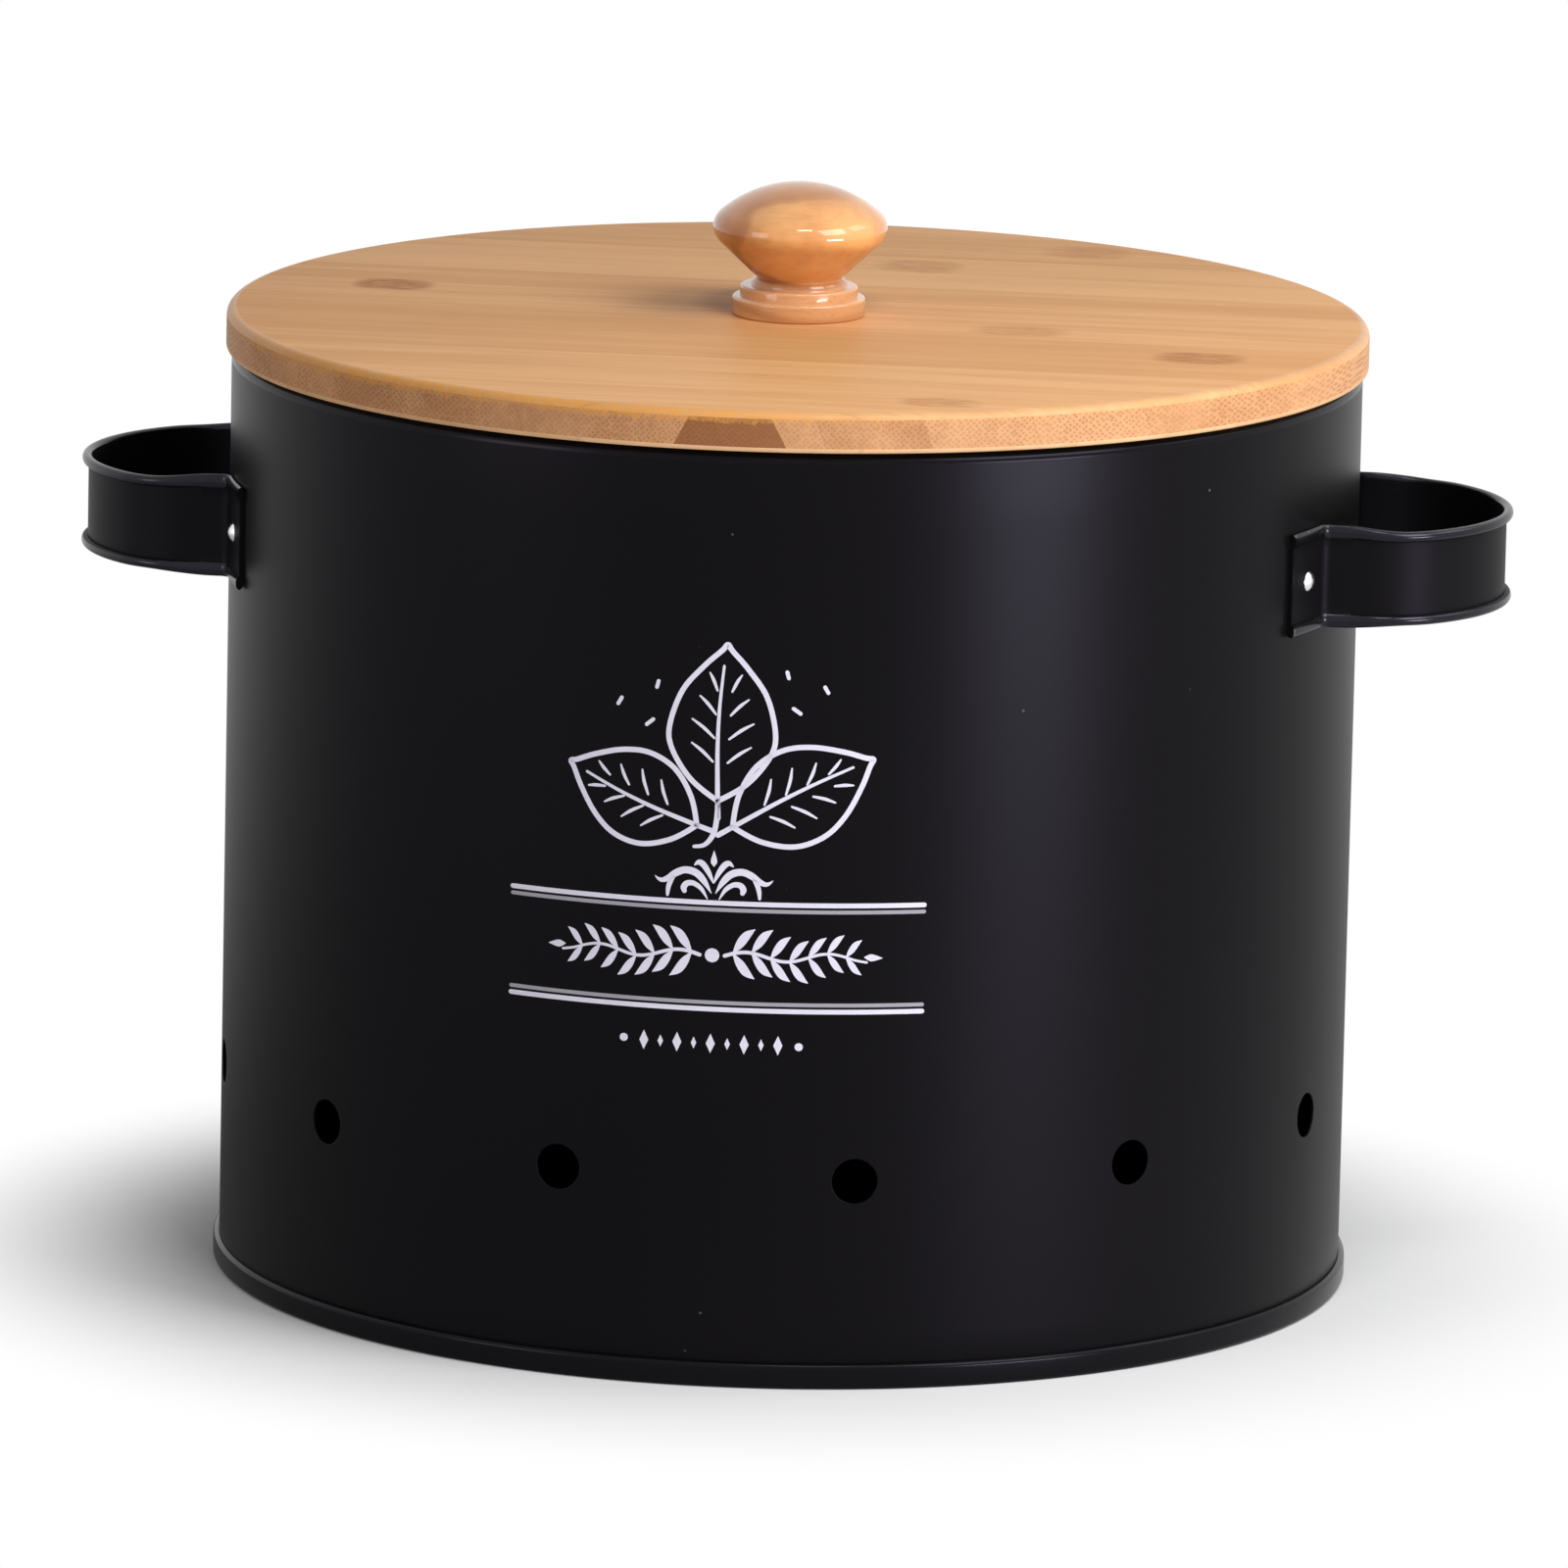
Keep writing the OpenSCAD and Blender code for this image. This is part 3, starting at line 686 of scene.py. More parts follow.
def make_base():
    """The base: its edge is folded round the drum's foot, and its middle is pressed up."""
    slot_in, slot_out, slot_top = 119.42 * MM, 120.04 * MM, 4.7 * MM
    foot_r, corner, fold, lip = 118.8 * MM, 0.8 * MM, 1 * MM, 1.05 * MM
    upper = pressed_middle(0)
    upper += [(slot_in, PAN_LOW_Z), (slot_in, PAN_SHEET), (slot_out, PAN_SHEET), (slot_out, slot_top)]
    seam = arc((BASE_SEAM_R - fold, fold), fold, -90, 0, 6)
    seam += arc((BASE_SEAM_R - lip, BASE_SEAM_H - lip), lip, 0, 100, 8)
    under = pressed_middle(PAN_SHEET)
    under += arc((foot_r - corner, PAN_LOW_Z - PAN_SHEET - corner), corner, 90, 0, 4)
    under += arc((foot_r + PAN_SHEET, PAN_SHEET), PAN_SHEET, 180, 270, 4)
    # From the axis outwards below, up the seam's outside, and back to the axis above
    base = turned("base_pan_pressed", under + seam + upper[::-1], rim_paint)
    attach(base, "bin")
    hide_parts("base_pan")


# The handles

def half_strap():
    """The strap's middle line from its front to one tab's end: place, outward direction, and the
    distance from the leg's foot, which is below 0 in the bend and the tab."""
    bend_y = LEG_HALF_GAP + BEND_R * math.cos(LEG_FLARE)
    bend_at = math.asin(bend_y / (STRAP_WALL_R + BEND_R))
    bend_centre = Vector(((STRAP_WALL_R + BEND_R) * math.cos(bend_at), bend_y))
    along = Vector((math.cos(LEG_FLARE), math.sin(LEG_FLARE)))
    inward = Vector((math.sin(LEG_FLARE), -math.cos(LEG_FLARE)))
    foot = bend_centre + BEND_R * inward
    less = FRONT_R - CORNER_R
    a = foot.x + CORNER_R * inward.x + FRONT_R - STRAP_REACH_X
    b = foot.y + CORNER_R * inward.y
    m = a * along.x + b * along.y
    leg = math.sqrt(m * m + less * less - a * a - b * b) - m
    corner = foot + leg * along + CORNER_R * inward
    front_turn = math.asin(corner.y / less)
    front = Vector((STRAP_REACH_X - FRONT_R, 0))
    corner_length = CORNER_R * (LEG_FLARE + TAU / 4 - front_turn)
    line = []

    def sweep(centre, radius, start, end, steps, distance, sign=1, skip=0):
        for i in range(skip, steps + 1):
            turn = start + (end - start) * i / steps
            out = Vector((math.cos(turn), math.sin(turn)))
            line.append((centre + radius * out, sign * out, distance - radius * abs(turn - start)))

    sweep(front, FRONT_R, 0, front_turn, 14, leg + corner_length + FRONT_R * front_turn)
    sweep(corner, CORNER_R, front_turn, LEG_FLARE + TAU / 4, 20, leg + corner_length, skip=1)
    for i in range(1, 13):
        line.append((foot + along * leg * (1 - i / 12), -inward, leg * (1 - i / 12)))
    sweep(bend_centre, BEND_R, LEG_FLARE + 3 * TAU / 4, TAU / 2 + bend_at, 12, 0.0, -1, 1)
    bend_length = BEND_R * (LEG_FLARE + TAU / 4 - bend_at)
    tab = TAB_LENGTH / DRUM_R
    sweep(Vector((0, 0)), STRAP_WALL_R, bend_at, bend_at + tab, 24, -bend_length, 1, 1)
    return line, -bend_length - STRAP_WALL_R * tab


def ease(share):
    """A share from 0 to 1 with a soft start and end."""
    share = min(max(share, 0), 1)
    return share * share * (3 - 2 * share)


def strap_section(distance, last):
    """The strap's outline as (outward, upward): a sheet whose edges are rolled outwards, and
    pressed flat near the wall. full is how round the roll is, lip how near the tab's end."""
    full = ease((distance - 1.5 * MM) / (15 * MM))
    lip = ease(1 - (distance - last) / (1.3 * MM))
    sheet = HANDLE_SHEET / 2
    half_height = (10.95 - 1.0 * full) * MM
    thick = (0.62 + 0.46 * full + 0.22 * lip) * MM
    tall = (1.45 - 0.35 * full) * MM
    middle, level = thick - sheet, half_height - tall
    front = sheet + 0.22 * MM * lip
    meet = math.degrees(math.acos((front - middle) / thick))
    roll = arc((0, 0), 1, 180, -meet, 18)
    top = [(middle + thick * c, level + tall * s) for c, s in roll]
    flat_from, flat_to = top[-1][1], -top[-1][1]
    face = [(front, flat_from + (flat_to - flat_from) * i / 8) for i in range(1, 8)]
    bottom = [(n, -z) for n, z in reversed(top)]
    back = [(-sheet, -level + 2 * level * i / 8) for i in range(1, 8)]
    return top + face + bottom + back


def make_handle(name, side, node):
    """One strap handle. side is 1 for the right one, and -1 for the left one."""
    half, last = half_strap()
    mirrored = [(Vector((p.x, -p.y)), Vector((n.x, -n.y)), d) for p, n, d in reversed(half[1:])]
    points, faces = [], []
    for place, out, distance in mirrored + half:
        for n, z in strap_section(distance, last):
            at = place + out * n
            points.append((side * at.x, side * at.y, HANDLE_Z + z))
    wide = len(strap_section(0, last))
    rings = len(points) // wide
    for r in range(rings - 1):
        for c in range(wide):
            d = (c + 1) % wide
            faces.append((r * wide + c, r * wide + d, (r + 1) * wide + d, (r + 1) * wide + c))
    faces += [tuple(range(wide)), tuple(range((rings - 1) * wide, rings * wide))]
    handle = new_piece(name, points, faces, handle_paint)
    face_outwards(handle.data)
    smooth(handle.data, 52)
    finish_again(handle, bead_paint, lambda c: abs(c.z - HANDLE_Z) > BEAD_FROM)
    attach(handle, "bin")
    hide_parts(node)


def rivet_tree():
    """Sets rivets into the four handle tabs, each facing straight out of the drum."""
    tree, start, end = new_tree("rivets in the tabs", (
        ("Seat radius", "Float"), ("Height", "Float"), ("Angle from handle", "Float"),
        ("Finish", "Material")))
    row = tree_node(tree, "GeometryNodeMeshLine", {"Count": 4, "Offset": (0, 0, 0)})
    number = tree_node(tree, "GeometryNodeInputIndex", {}).outputs[0]
    half_turn = tree_math(tree, "MULTIPLY", tree_math(tree, "GREATER_THAN", number, 1.5), TAU / 2)
    twice = tree_math(tree, "MULTIPLY", tree_math(tree, "MODULO", number, 2.0), 2.0)
    side = tree_math(tree, "SUBTRACT", twice, 1.0)
    away = tree_math(tree, "MULTIPLY", side, start.outputs["Angle from handle"])
    turn = tree_math(tree, "ADD", half_turn, away)
    radius = start.outputs["Seat radius"]
    place = tree_node(tree, "ShaderNodeCombineXYZ",
                      {0: tree_math(tree, "MULTIPLY", tree_math(tree, "COSINE", turn), radius),
                       1: tree_math(tree, "MULTIPLY", tree_math(tree, "SINE", turn), radius),
                       2: start.outputs["Height"]}).outputs[0]
    seats = tree_node(tree, "GeometryNodeSetPosition", {"Geometry": row.outputs[0], "Position": place})
    facing = tree_node(tree, "ShaderNodeCombineXYZ", {1: TAU / 4, 2: turn}).outputs[0]
    end_tree(tree, copy_onto(tree, seats.outputs[0], start, facing), start, end)
    return tree


def make_rivets():
    """The four rivets: a domed head outside, a shank and a flat tail inside the drum."""
    shank, head, tail = 1.5 * MM, 2.1 * MM, 2.2 * MM
    under, back, rise = -1.45 * MM, -2.25 * MM, 1.2 * MM
    soft, lip = 0.25 * MM, 0.06 * MM
    dome_r = (head ** 2 + rise ** 2) / (2 * rise)
    half = math.degrees(math.asin(head / dome_r))
    outline = [(0, back)] + arc((tail - soft, back + soft), soft, -90, 0, 4)
    outline += [(tail, under), (shank, under), (shank, 0.0), (head - lip, 0.0), (head, lip)]
    outline += arc((0, rise - dome_r), dome_r, 90 - half + 3, 90, 12)[:-1] + [(0, rise)]
    rivets = turned("handle_rivets", outline, rivet_steel, 40)
    bend_at = math.asin((LEG_HALF_GAP + BEND_R * math.cos(LEG_FLARE)) / (STRAP_WALL_R + BEND_R))
    seat_at = bend_at + RIVET_INSET / DRUM_R
    use_tree(rivets, rivet_tree(), {"Seat radius": RIVET_SEAT_R, "Height": HANDLE_Z,
                                    "Angle from handle": seat_at, "Finish": rivet_steel})
    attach(rivets, "bin")
    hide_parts("rivet_left_front", "rivet_left_back", "rivet_right_front", "rivet_right_back")


# The lid

def make_lid():
    """The lid's board: three crossed layers of bamboo, with one rounded edge round all of them."""
    edge_top = LID_TOP_Z - TOP_PLY
    round_centre = (LID_R - LID_TOP_ROUND, LID_TOP_Z - LID_TOP_ROUND)
    split = math.degrees(math.asin((edge_top - round_centre[1]) / LID_TOP_ROUND))
    low = LID_Z + BOTTOM_PLY
    bands = [(SCREW_HOLE_R + (LID_R - LID_TOP_ROUND - SCREW_HOLE_R) * i / 6) for i in range(7)]
    top = [(r, edge_top) for r in bands] + arc(round_centre, LID_TOP_ROUND, split, 90, 8)
    top += [(r, LID_TOP_Z) for r in bands[-2::-1]]
    core = [(r, low) for r in bands] + [(LID_R, low)] + arc(round_centre, LID_TOP_ROUND, 0, split, 4)
    core += [(r, edge_top) for r in bands[::-1]]
    base = [(r, LID_Z) for r in bands]
    base += arc((LID_R - LID_BOTTOM_ROUND, LID_Z + LID_BOTTOM_ROUND), LID_BOTTOM_ROUND, -90, 0, 5)
    base += [(LID_R, low)] + [(r, low) for r in bands[::-1]]
    for name, outline, finish, node, slot in (
            ("lid_face_layer", top, bamboo_face, "lid_top_ply", "bamboo_face"),
            ("lid_middle_layer", core, bamboo_core, "lid_core_ply", "bamboo_core"),
            ("lid_back_layer", base, bamboo_base, "lid_bottom_ply", "bamboo_face")):
        layer = turned(name, outline, finish, 360)
        # The face layer's rounding gets the glossier bamboo, painted darker as shade
        if finish == bamboo_face:
            finish_again(layer, bamboo_rim_with_painted_shade, lambda c: c.xy.length > LID_R - LID_TOP_ROUND)
        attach(layer, "lid")
        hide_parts(node)


def make_plug():
    """The thick disc under the lid that centres it in the drum, with a groove for the seal. Its
    pocket below holds the screw's head."""
    low, high, r = PLUG_Z, LID_Z, PLUG_R
    soft, pocket_soft = 1.5 * MM, 0.4 * MM
    pocket_r, pocket_z = 7 * MM, 189.5 * MM
    groove_low, groove_high = 188.5 * MM, 194.5 * MM
    outline = [(SCREW_HOLE_R, high), (SCREW_HOLE_R, pocket_z), (pocket_r, pocket_z)]
    outline += arc((pocket_r + pocket_soft, low + pocket_soft), pocket_soft, 180, 270, 4)
    outline += [(40 * MM, low), (80 * MM, low)]
    outline += arc((r - soft, low + soft), soft, -90, 0, 6)
    outline += [(r, groove_low), (GROOVE_R, groove_low), (GROOVE_R, groove_high), (r, groove_high)]
    outline += arc((r - soft, high - soft), soft, 0, 90, 6) + [(80 * MM, high), (40 * MM, high)]
    plug = turned("lid_plug_disc", outline, bamboo_plug, 240)
    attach(plug, "lid")
    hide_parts("lid_plug")


def make_seal():
    """A rubber ring with two rounded lips."""
    inner, lip, thick = 110.4 * MM, 115.3 * MM, 1 * MM
    low, high, fillet = 188.8 * MM, 194.2 * MM, 0.4 * MM
    root = PLUG_R + fillet
    outline = [(inner, low)] + arc((lip - thick / 2, low + thick / 2), thick / 2, -90, 90, 8)
    outline += arc((root, low + thick + fillet), fillet, 270, 180, 4)
    outline += arc((root, high - thick - fillet), fillet, 180, 90, 4)
    outline += arc((lip - thick / 2, high - thick / 2), thick / 2, -90, 90, 8) + [(inner, high)]
    seal = turned("seal_lips", outline, silicone, 240)
    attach(seal, "seal")
    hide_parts("seal_ring")


def make_knob():
    """The turned knob: foot, ring, rounded collar, cone, rounded edge and dome. Sizes in mm."""
    widest, height, rise = 18.5, 28.2, 18.6
    edge_r, slope = 4.2, 43
    foot_r, foot_top, foot_low_soft, foot_soft = 14.15, 4.0, 0.5, 0.7
    ring_r, ring_top, ring_soft = 12.5, 6.3, 0.6
    neck_r, collar_r = 9.2, 1.9
    hole_r, hole_top = 2.05, 15.0
    edge = (widest - edge_r, rise)
    dome_r = (edge[0] ** 2 + (height - rise) ** 2 - edge_r ** 2) / (2 * (height - rise - edge_r))
    dome = (0.0, height - dome_r)
    dome_from = math.degrees(math.atan2(rise - dome[1], edge[0]))
    tilt = math.radians(slope)
    cone_top = (edge[0] + edge_r * math.sin(tilt), edge[1] - edge_r * math.cos(tilt))
    neck_z = cone_top[1] - (cone_top[0] - neck_r) * math.tan(tilt)
    outline = [(hole_r, 0.0)] + arc((foot_r - foot_low_soft, foot_low_soft), foot_low_soft, -90, 0, 5)
    outline += arc((foot_r - foot_soft, foot_top - foot_soft), foot_soft, 0, 84, 7)
    outline += [(ring_r + 0.1, foot_top - 0.05)]
    outline += arc((ring_r - ring_soft, ring_top - ring_soft), ring_soft, 0, 86, 7)
    outline += [(neck_r + 1.1, ring_top - 0.05)]
    outline += arc((neck_r + 1.0 - collar_r, ring_top), collar_r, 8, 62, 8) + [(neck_r, neck_z)]
    outline += arc(edge, edge_r, slope - 90, dome_from, 18) + arc(dome, dome_r, dome_from, 90, 26)[1:-1]
    outline += [(0.0, height), (0.0, hole_top), (hole_r, hole_top)]
    knob = turned("lid_knob", [(r * MM, LID_TOP_Z + z * MM) for r, z in outline], knob_wood, 160, 35)
    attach(knob, "lid")
    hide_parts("knob")


# The print, whose strokes are drawn flat and in millimetres

INK_THICK = 0.04 * MM
PRINT_SHIFT = 0.9
RULE_HALF_LENGTH = 43.85
UPPER_RULE_Z = 102.25
LOWER_RULE_Z = 79.85
THIN_RULE_GAP = 1.4
GARLAND_Z = 91.2
GARLAND_WAVE = 0.9
LOZENGES_Z = 72.6
LEAF_STROKE = 1.1
VEIN_REACH = (0.56, 0.58, 0.46, 0.30)


def between_points(t, a, b, c, d):
    """A smooth step from b to c that also looks at the point before and the point after."""
    bend = (2 * a - 5 * b + 4 * c - d) * t * t + (3 * b - a - 3 * c + d) * t ** 3
    return 0.5 * (2 * b + (c - a) * t + bend)


def curve_through(points, closed=False, steps=8):
    """A smooth line through the points, as (x, height, width) in millimetres."""
    count = len(points)
    line = []
    for i in range(count if closed else count - 1):
        if closed:
            p = [points[(i + k) % count] for k in (-1, 0, 1, 2)]
        else:
            p = [points[max(0, min(count - 1, i + k))] for k in (-1, 0, 1, 2)]
        for s in range(steps):
            line.append(tuple(between_points(s / steps, *four) for four in zip(*p)))
    if not closed:
        line.append(points[-1])
    return line


def ribbon(line, closed):
    """The two sides of a pen stroke along a line of (x, height, width), with round ends."""
    if not closed:
        (x0, z0, w0), (x1, z1, w1) = line[0], line[-1]
        t0 = (Vector((x0, z0)) - Vector(line[1][:2])).normalized()
        t1 = (Vector((x1, z1)) - Vector(line[-2][:2])).normalized()
        caps = [(math.sin(a), math.cos(a)) for a in (TAU / 4 - 0.02, 1.1, 0.6)]
        line = ([(x0 + t0.x * w0 / 2 * s, z0 + t0.y * w0 / 2 * s, w0 * c) for s, c in caps] + list(line)
                + [(x1 + t1.x * w1 / 2 * s, z1 + t1.y * w1 / 2 * s, w1 * c) for s, c in reversed(caps)])
    count = len(line)
    left, right = [], []
    for i, (x, z, w) in enumerate(line):
        before = line[i - 1] if closed or i > 0 else line[0]
        after = line[(i + 1) % count] if closed or i < count - 1 else line[-1]
        t = Vector((after[0] - before[0], after[1] - before[1])).normalized()
        left.append((x - t.y * w / 2, z + t.x * w / 2))
        right.append((x + t.y * w / 2, z - t.x * w / 2))
    return left, right


def ink_strokes(name, strokes, finish):
    """All strokes of one ink as thin solids in the plane of the front, ready to be wrapped."""
    points, faces = [], []
    for line, closed in strokes:
        left, right = ribbon(line, closed)
        first, count = len(points), len(left)
        for l, r in zip(left, right):
            for (x, z), y in ((l, -1), (r, -1), (r, 1), (l, 1)):
                points.append(((x + PRINT_SHIFT) * MM, y * INK_THICK / 2, z * MM))
        for i in range(count if closed else count - 1):
            a, b = first + 4 * i, first + 4 * ((i + 1) % count)
            faces += [(a + k, b + k, b + (k + 1) % 4, a + (k + 1) % 4) for k in range(4)]
        if not closed:
            last = first + 4 * (count - 1)
            faces += [tuple(first + k for k in range(4)), tuple(last + k for k in (3, 2, 1, 0))]
    piece = new_piece(name, points, faces, finish)
    face_outwards(piece.data)
    use_tree(piece, wrap_tree(), {"Drum radius": DRUM_R + 0.25 * INK_THICK, "Finish": finish}, 30)
    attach(piece, "bin")


def wrap_tree():
    """Bends a flat print round the drum: x becomes the arc, and the ink's thickness stands off the wall."""
    tree, start, end = new_tree("wrap round the drum", (("Drum radius", "Float"), ("Finish", "Material")))
    radius = start.outputs["Drum radius"]
    here = tree_node(tree, "GeometryNodeInputPosition", {}).outputs[0]
    split = tree_node(tree, "ShaderNodeSeparateXYZ", {0: here})
    turn = tree_math(tree, "DIVIDE", split.outputs[0], radius)
    out = tree_math(tree, "SUBTRACT", radius, split.outputs[1])
    right = tree_math(tree, "MULTIPLY", out, tree_math(tree, "SINE", turn))
    front = tree_math(tree, "MULTIPLY", out, tree_math(tree, "COSINE", turn))
    place = tree_node(tree, "ShaderNodeCombineXYZ",
                      {0: right, 1: tree_math(tree, "MULTIPLY", front, -1.0), 2: split.outputs[2]}).outputs[0]
    bent = tree_node(tree, "GeometryNodeSetPosition",
                     {"Geometry": start.outputs["Geometry"], "Position": place})
    end_tree(tree, bent.outputs[0], start, end)
    return tree


def leaf(base, tip, width, bulge=0.5):
    """A broad leaf: its closed outline, its midrib, and short veins that stay inside. bulge is how
    far along it is widest."""
    base, tip = Vector(base), Vector(tip)
    along = tip - base
    side = Vector((-along.y, along.x)).normalized() * width / 2
    shape = ((0.0, 0.05), (0.12, 0.55), (0.3, 0.93), (bulge, 1.0), (0.68, 0.8), (0.85, 0.42), (0.96, 0.1))
    edge = [base + along * t + side * s for t, s in shape] + [tip]
    edge += [base + along * t - side * s for t, s in reversed(shape)]
    strokes = [(curve_through([(p.x, p.y, LEAF_STROKE) for p in edge], True), True)]
    rib = [base + along * t + side * 0.08 * math.sin(t * 3) for t in (-0.12, 0.1, 0.35, 0.6, 0.86)]
    rib = [(p.x, p.y, LEAF_STROKE * (1 - 0.5 * i / 4)) for i, p in enumerate(rib)]
    strokes.append((curve_through(rib), False))
    for i, reach in enumerate(VEIN_REACH):
        t = 0.2 + 0.46 * i / (len(VEIN_REACH) - 1)
        for s in (-1, 1):
            start = base + along * (t + 0.04) + side * s * 0.14
            end = base + along * (t + 0.15) + side * s * reach
            middle = (start + end) / 2 + along.normalized() * 0.25
            vein = [(start.x, start.y, 0.45), (middle.x, middle.y, 0.7), (end.x, end.y, 0.35)]
            strokes.append((curve_through(vein, steps=4), False))
    return strokes


def dash(x, z, length, angle, width=0.8):
    """A short stroke round its middle, at an angle in degrees."""
    dx, dz = length / 2 * math.cos(math.radians(angle)), length / 2 * math.sin(math.radians(angle))
    return ([(x - dx, z - dz, width), (x, z, width), (x + dx, z + dz, width)], False)


def dot(x, z, radius):
    """A round dot, as a stroke that is almost all ends."""
    return ([(x - 0.02, z, 2 * radius), (x + 0.02, z, 2 * radius)], False)


def picture():
    """Three broad leaves in a fan over a curling stem."""
    strokes = leaf((-4.0, 118.5), (-31.0, 130.0), 19) + leaf((4.0, 118.5), (32.5, 133.0), 20)
    strokes += leaf((0.5, 124.0), (2.0, 156.5), 22, bulge=0.45)
    stem = [(-4.2, 113.9, 0.7), (-2.0, 114.4, 0.9), (-0.3, 116.6, 1.1), (0.4, 120.0, 1.1), (0.5, 124.0, 1.0)]
    strokes.append((curve_through(stem), False))
    for x, z, length, angle in ((-14, 139.5, 1.8, 40), (-20.5, 143.5, 1.5, 60), (16.5, 143, 1.8, -35),
                                (22.5, 147.5, 1.4, -60), (-12.5, 147.5, 1.3, 75), (14.5, 150.5, 1.3, -75)):
        strokes.append(dash(x, z, length, angle))
    return strokes


def mirror_strokes(strokes):
    """The same strokes on the other side of the print's middle."""
    return [([(-x, z, w) for x, z, w in line], closed) for line, closed in strokes]


def crest(z0):
    """The old palmette between scrolls that stands on the upper rule."""
    half = [
        ([(-0.45, 1.5, 0.15), (-2.0, 4.0, 1.25), (-3.7, 5.65, 1.5), (-5.9, 6.15, 1.45), (-7.9, 5.4, 1.45),
          (-9.4, 4.3, 1.25), (-10.7, 3.75, 0.95), (-11.6, 4.0, 0.6), (-12.3, 4.6, 0.1)], False),
        ([(-8.0, 5.1, 0.5), (-9.0, 3.6, 1.0), (-9.45, 2.2, 0.95), (-9.6, 0.7, 0.6)], False),
        ([(-1.25, 0.3, 0.25), (-2.5, 2.3, 0.85), (-4.1, 3.4, 1.05), (-5.5, 3.35, 1.2), (-6.2, 2.5, 1.3),
          (-6.05, 1.75, 1.0)], False),
        ([(-0.05, 3.7, 0.3), (-1.0, 5.7, 1.0), (-2.1, 7.35, 1.25), (-3.1, 7.9, 1.1),
          (-4.0, 7.3, 0.3)], False),
    ]
    half = [(curve_through([(x, z + z0, w) for x, z, w in line]), closed) for line, closed in half]
    drop = [(0.0, 7.3, 0.4), (0.0, 7.9, 1.25), (0.0, 8.6, 1.2), (0.0, 9.5, 0.7), (0.0, 10.4, 0.12)]
    return half + mirror_strokes(half) + [(curve_through([(x, z + z0, w) for x, z, w in drop]), False)]


def rule(z, width):
    """A straight rule, in enough steps to bend round the drum."""
    return ([(RULE_HALF_LENGTH * (i - 32) / 32, z, width) for i in range(65)], False)


def garland(z0):
    """Pairs of leaves that run outwards from a berry along a stem."""
    first, length = 2.6, 29.4
    stem = [(first + length * i / 12, z0 + GARLAND_WAVE * math.sin(i * 0.9), 0.8 - 0.3 * i / 12)
            for i in range(13)]
    half = [(curve_through(stem, steps=3), False)]
    for i in range(7):
        x = 4.4 + 3.9 * i
        grow = 1.0 - 0.05 * i
        here = z0 + GARLAND_WAVE * math.sin((x - first) / length * 12 * 0.9)
        for s in (-1, 1):
            line = [(x, here + 0.2 * s, 0.3), (x + 1.3 * grow, here + 2.0 * s * grow, 1.7 * grow),
                    (x + 2.7 * grow, here + 3.9 * s * grow, 1.7 * grow),
                    (x + 4.4 * grow, here + 5.2 * s * grow, 0.15)]
            half.append((curve_through(line, steps=5), False))
    bud = [(31.6, z0 + 0.2, 0.3), (33.0, z0 + 0.1, 1.5), (35.2, z0, 0.15)]
    half.append((curve_through(bud, steps=4), False))
    return [dot(0, z0, 1.5)] + half + mirror_strokes(half)


def lozenges(z0):
    """A row of small lozenges between two dots."""
    strokes = [dot(-18.3, z0 + 0.2, 0.85), dot(18.3, z0 - 0.2, 0.85)]
    for i in range(9):
        x = 3.5 * (i - 4)
        tall = 2.0 if i % 2 == 0 else 1.2
        strokes.append(([(x, z0 - tall, 0.05), (x, z0, tall * 0.95), (x, z0 + tall, 0.05)], False))
    return strokes


def make_print():
    """The print on the front, in two inks: white, and grey for the thin rules."""
    bright = picture() + crest(UPPER_RULE_Z + 0.5) + garland(GARLAND_Z) + lozenges(LOZENGES_Z)
    bright += [rule(UPPER_RULE_Z, 1.0), rule(LOWER_RULE_Z, 1.0)]
    thin = [rule(UPPER_RULE_Z - THIN_RULE_GAP, 0.8), rule(LOWER_RULE_Z + THIN_RULE_GAP, 0.8)]
    ink_strokes("print_white", bright, white_ink)
    ink_strokes("print_grey", thin, grey_ink)


# The floor and the light

FLOOR_HOLE_R = 112 * MM
FLOOR_R = 6.0
FLOOR_STEPS = 96
WHITE = colour(1, 1, 1)
DIM_WORLD = 0.11
LIT_HEIGHT = 120 * MM


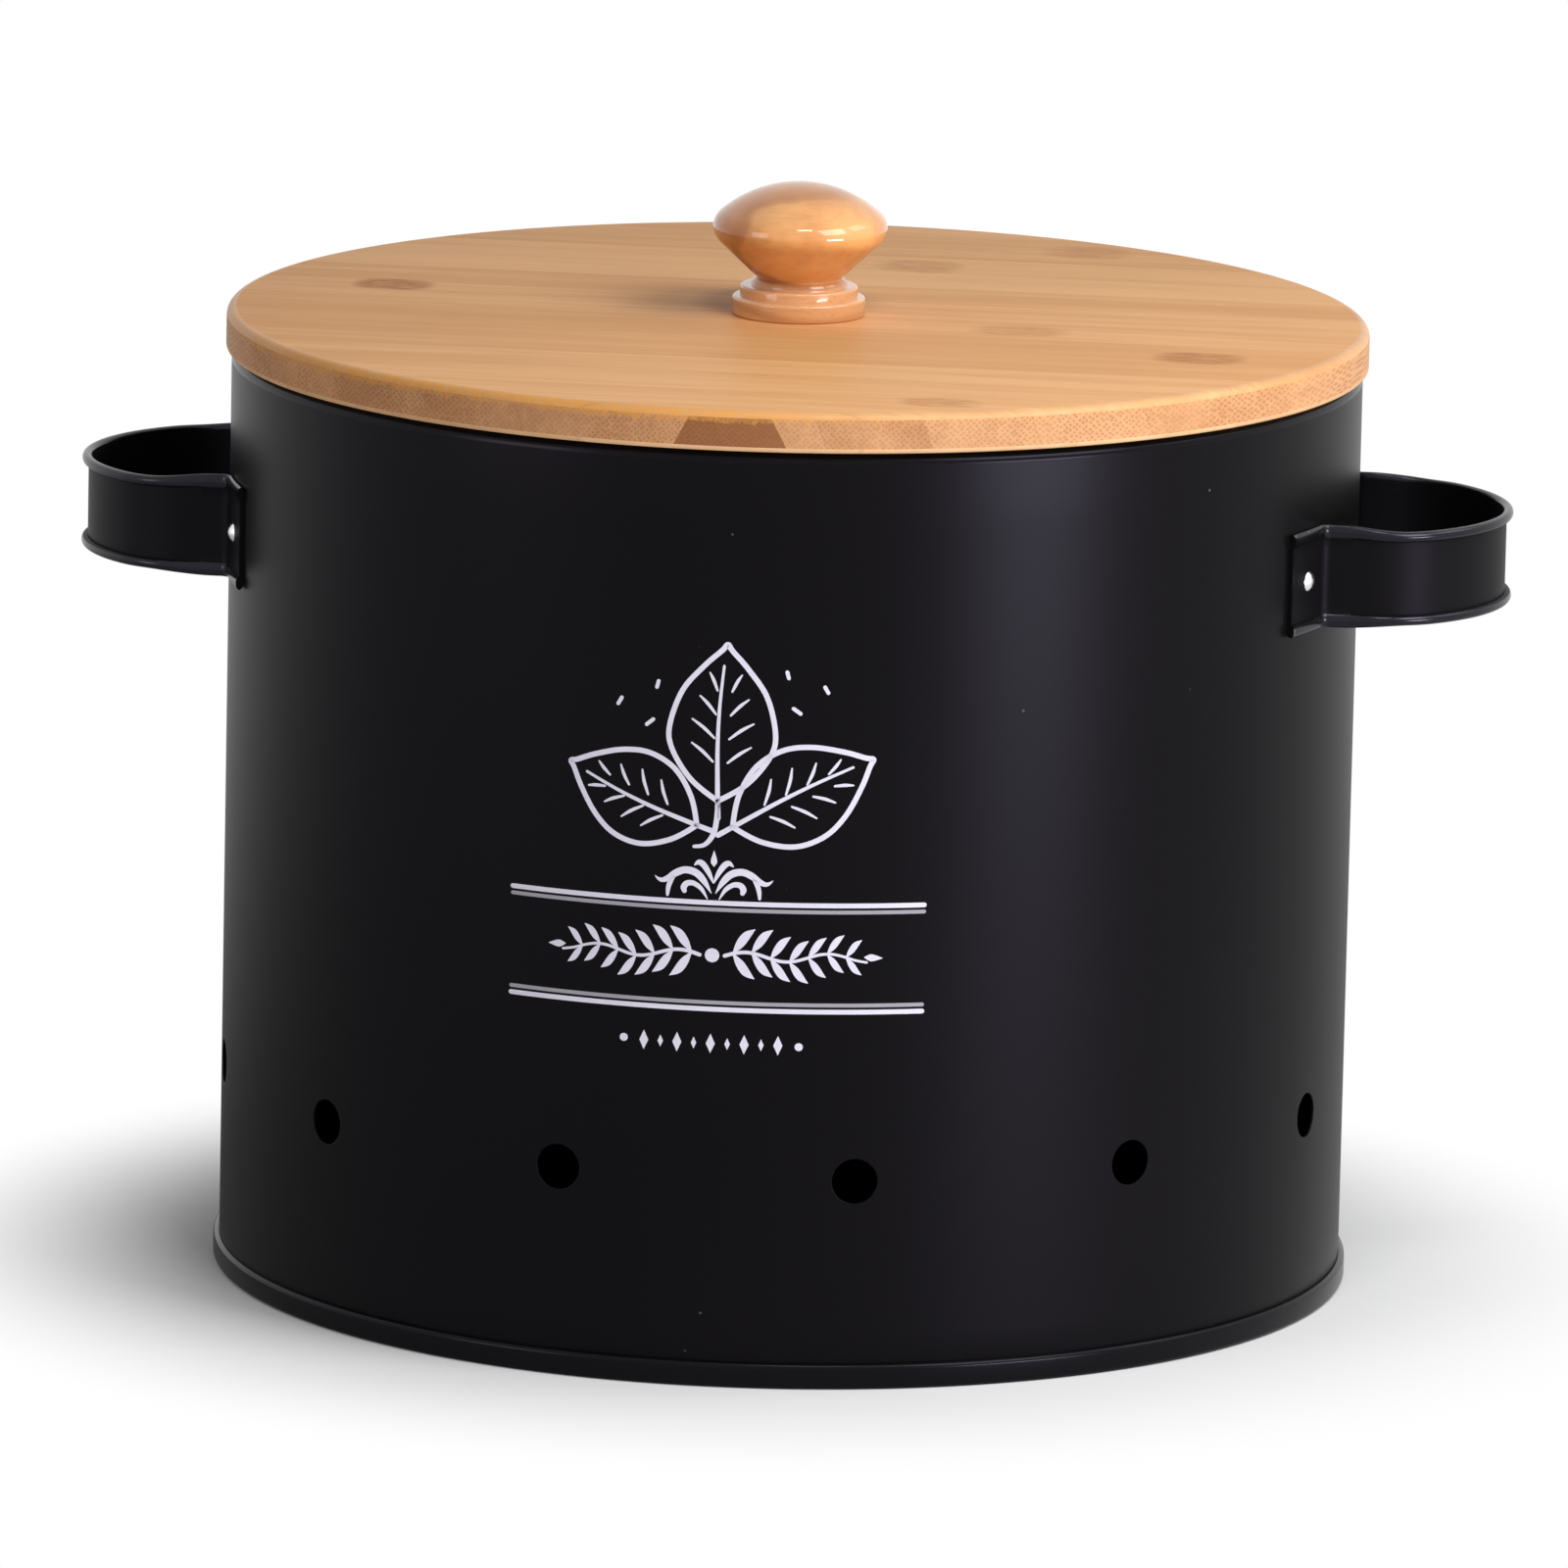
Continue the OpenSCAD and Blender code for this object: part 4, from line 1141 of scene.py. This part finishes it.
def make_stage():
    """A pale floor that keeps the shadow and fades into a white surround. It is open under the
    bin's foot, so that light reaches the base when the bin is looked at from below."""
    steps = FLOOR_STEPS
    points = [(radius * math.cos(TAU * i / steps), radius * math.sin(TAU * i / steps), 0.0)
              for radius in (FLOOR_HOLE_R, FLOOR_R) for i in range(steps)]
    faces = [(i, steps + i, steps + (i + 1) % steps, (i + 1) % steps) for i in range(steps)]
    mesh = bpy.data.meshes.new("floor")
    mesh.from_pydata(points, [], faces)
    floor = bpy.data.objects.new("floor", mesh)
    bpy.context.scene.collection.objects.link(floor)
    look = Finish("pale floor")
    away = look.node("ShaderNodeVectorMath", {0: look.place}, operation="LENGTH").outputs["Value"]
    seen = look.node("ShaderNodeLightPath", {}).outputs
    mirrored = look.math("MAXIMUM", seen["Is Glossy Ray"], seen["Is Transmission Ray"])
    far = look.math("MAXIMUM", look.times(look.between(away, 0.11, 0.20), seen["Is Camera Ray"]),
                    look.times(look.between(away, 0.2, 1.1), mirrored))
    below = look.node("ShaderNodeNewGeometry", {}).outputs["Backfacing"]
    pale = look.mix(look.noise(look.place, 30, 2), colour(0.90, 0.90, 0.90), colour(0.92, 0.92, 0.92))
    look.set(Base_Color=pale, Roughness=0.9, Specular_IOR_Level=0.1)
    white = look.node("ShaderNodeEmission", {"Color": WHITE, "Strength": 1.0}).outputs[0]
    clear = look.node("ShaderNodeBsdfTransparent", {}).outputs[0]
    faded = look.node("ShaderNodeMixShader", {0: far, 1: look.shader.outputs[0], 2: white}).outputs[0]
    sided = look.node("ShaderNodeMixShader", {0: below, 1: faded, 2: clear}).outputs[0]
    look.tree.links.new(sided, look.tree.nodes["Material Output"].inputs["Surface"])
    floor.data.materials.append(look.material)


def light_world():
    """White where the camera, metal or glass look at it, and dim as a light."""
    world = bpy.data.worlds.new("studio")
    bpy.context.scene.world = world
    world.use_nodes = True
    tree = world.node_tree
    rays = tree_node(tree, "ShaderNodeLightPath", {}).outputs
    direct = tree_math(tree, "MAXIMUM", rays["Is Camera Ray"], rays["Is Glossy Ray"])
    seen = tree_math(tree, "MAXIMUM", direct, rays["Is Transmission Ray"])
    level = tree_node(tree, "ShaderNodeMapRange", {0: seen, 3: DIM_WORLD, 4: 1.0}).outputs[0]
    tree.links.new(level, tree.nodes["Background"].inputs["Strength"])
    tree.nodes["Background"].inputs["Color"].default_value = WHITE


def soft_light(name, azimuth, elevation, distance, size, power, tint=(1, 1, 1)):
    """A soft box that faces the bin's middle. Its azimuth is measured from the camera's, to the
    right. Its distance and size are in metres, and its power in watts."""
    data = bpy.data.lights.new(name, "AREA")
    data.shape = "RECTANGLE"
    data.size, data.size_y = size
    data.energy = power
    data.color = tint
    lamp = bpy.data.objects.new(name, data)
    bpy.context.scene.collection.objects.link(lamp)
    turn = CAMERA_AZIMUTH + math.radians(azimuth)
    up = math.radians(elevation)
    back = Vector((math.sin(turn) * math.cos(up), -math.cos(turn) * math.cos(up), math.sin(up)))
    lamp.location = Vector((0, 0, LIT_HEIGHT)) + back * distance
    lamp.rotation_mode = "QUATERNION"
    lamp.rotation_quaternion = (-back).to_track_quat("-Z", "Y")
    lamp.visible_camera = False


make_drum()
make_lap_seam()
make_weld_marks()
make_base()
make_handle("handle_strap_right", 1, "handle_right")
make_handle("handle_strap_left", -1, "handle_left")
make_rivets()
make_lid()
make_plug()
make_seal()
make_knob()
make_print()
for steel_node in ("knob_screw", "knob_washer"):
    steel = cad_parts[steel_node]
    steel.data.materials.clear()
    steel.data.materials.append(screw_steel)
make_stage()
light_world()
soft_light("key right", 47, -1.5, 1.25, (0.50, 0.17), 7.6, (0.98, 0.96, 1.0))
soft_light("window front right", 50, 42, 0.70, (0.36, 0.33), 3.1)
soft_light("window side", 96, 40, 1.15, (0.45, 0.40), 1.9, (0.94, 0.97, 1.0))
soft_light("front top", 8, 58, 0.66, (0.16, 0.08), 0.8)
soft_light("fill left", -55, 12, 1.5, (0.6, 0.6), 4.0, (1.0, 0.94, 0.91))
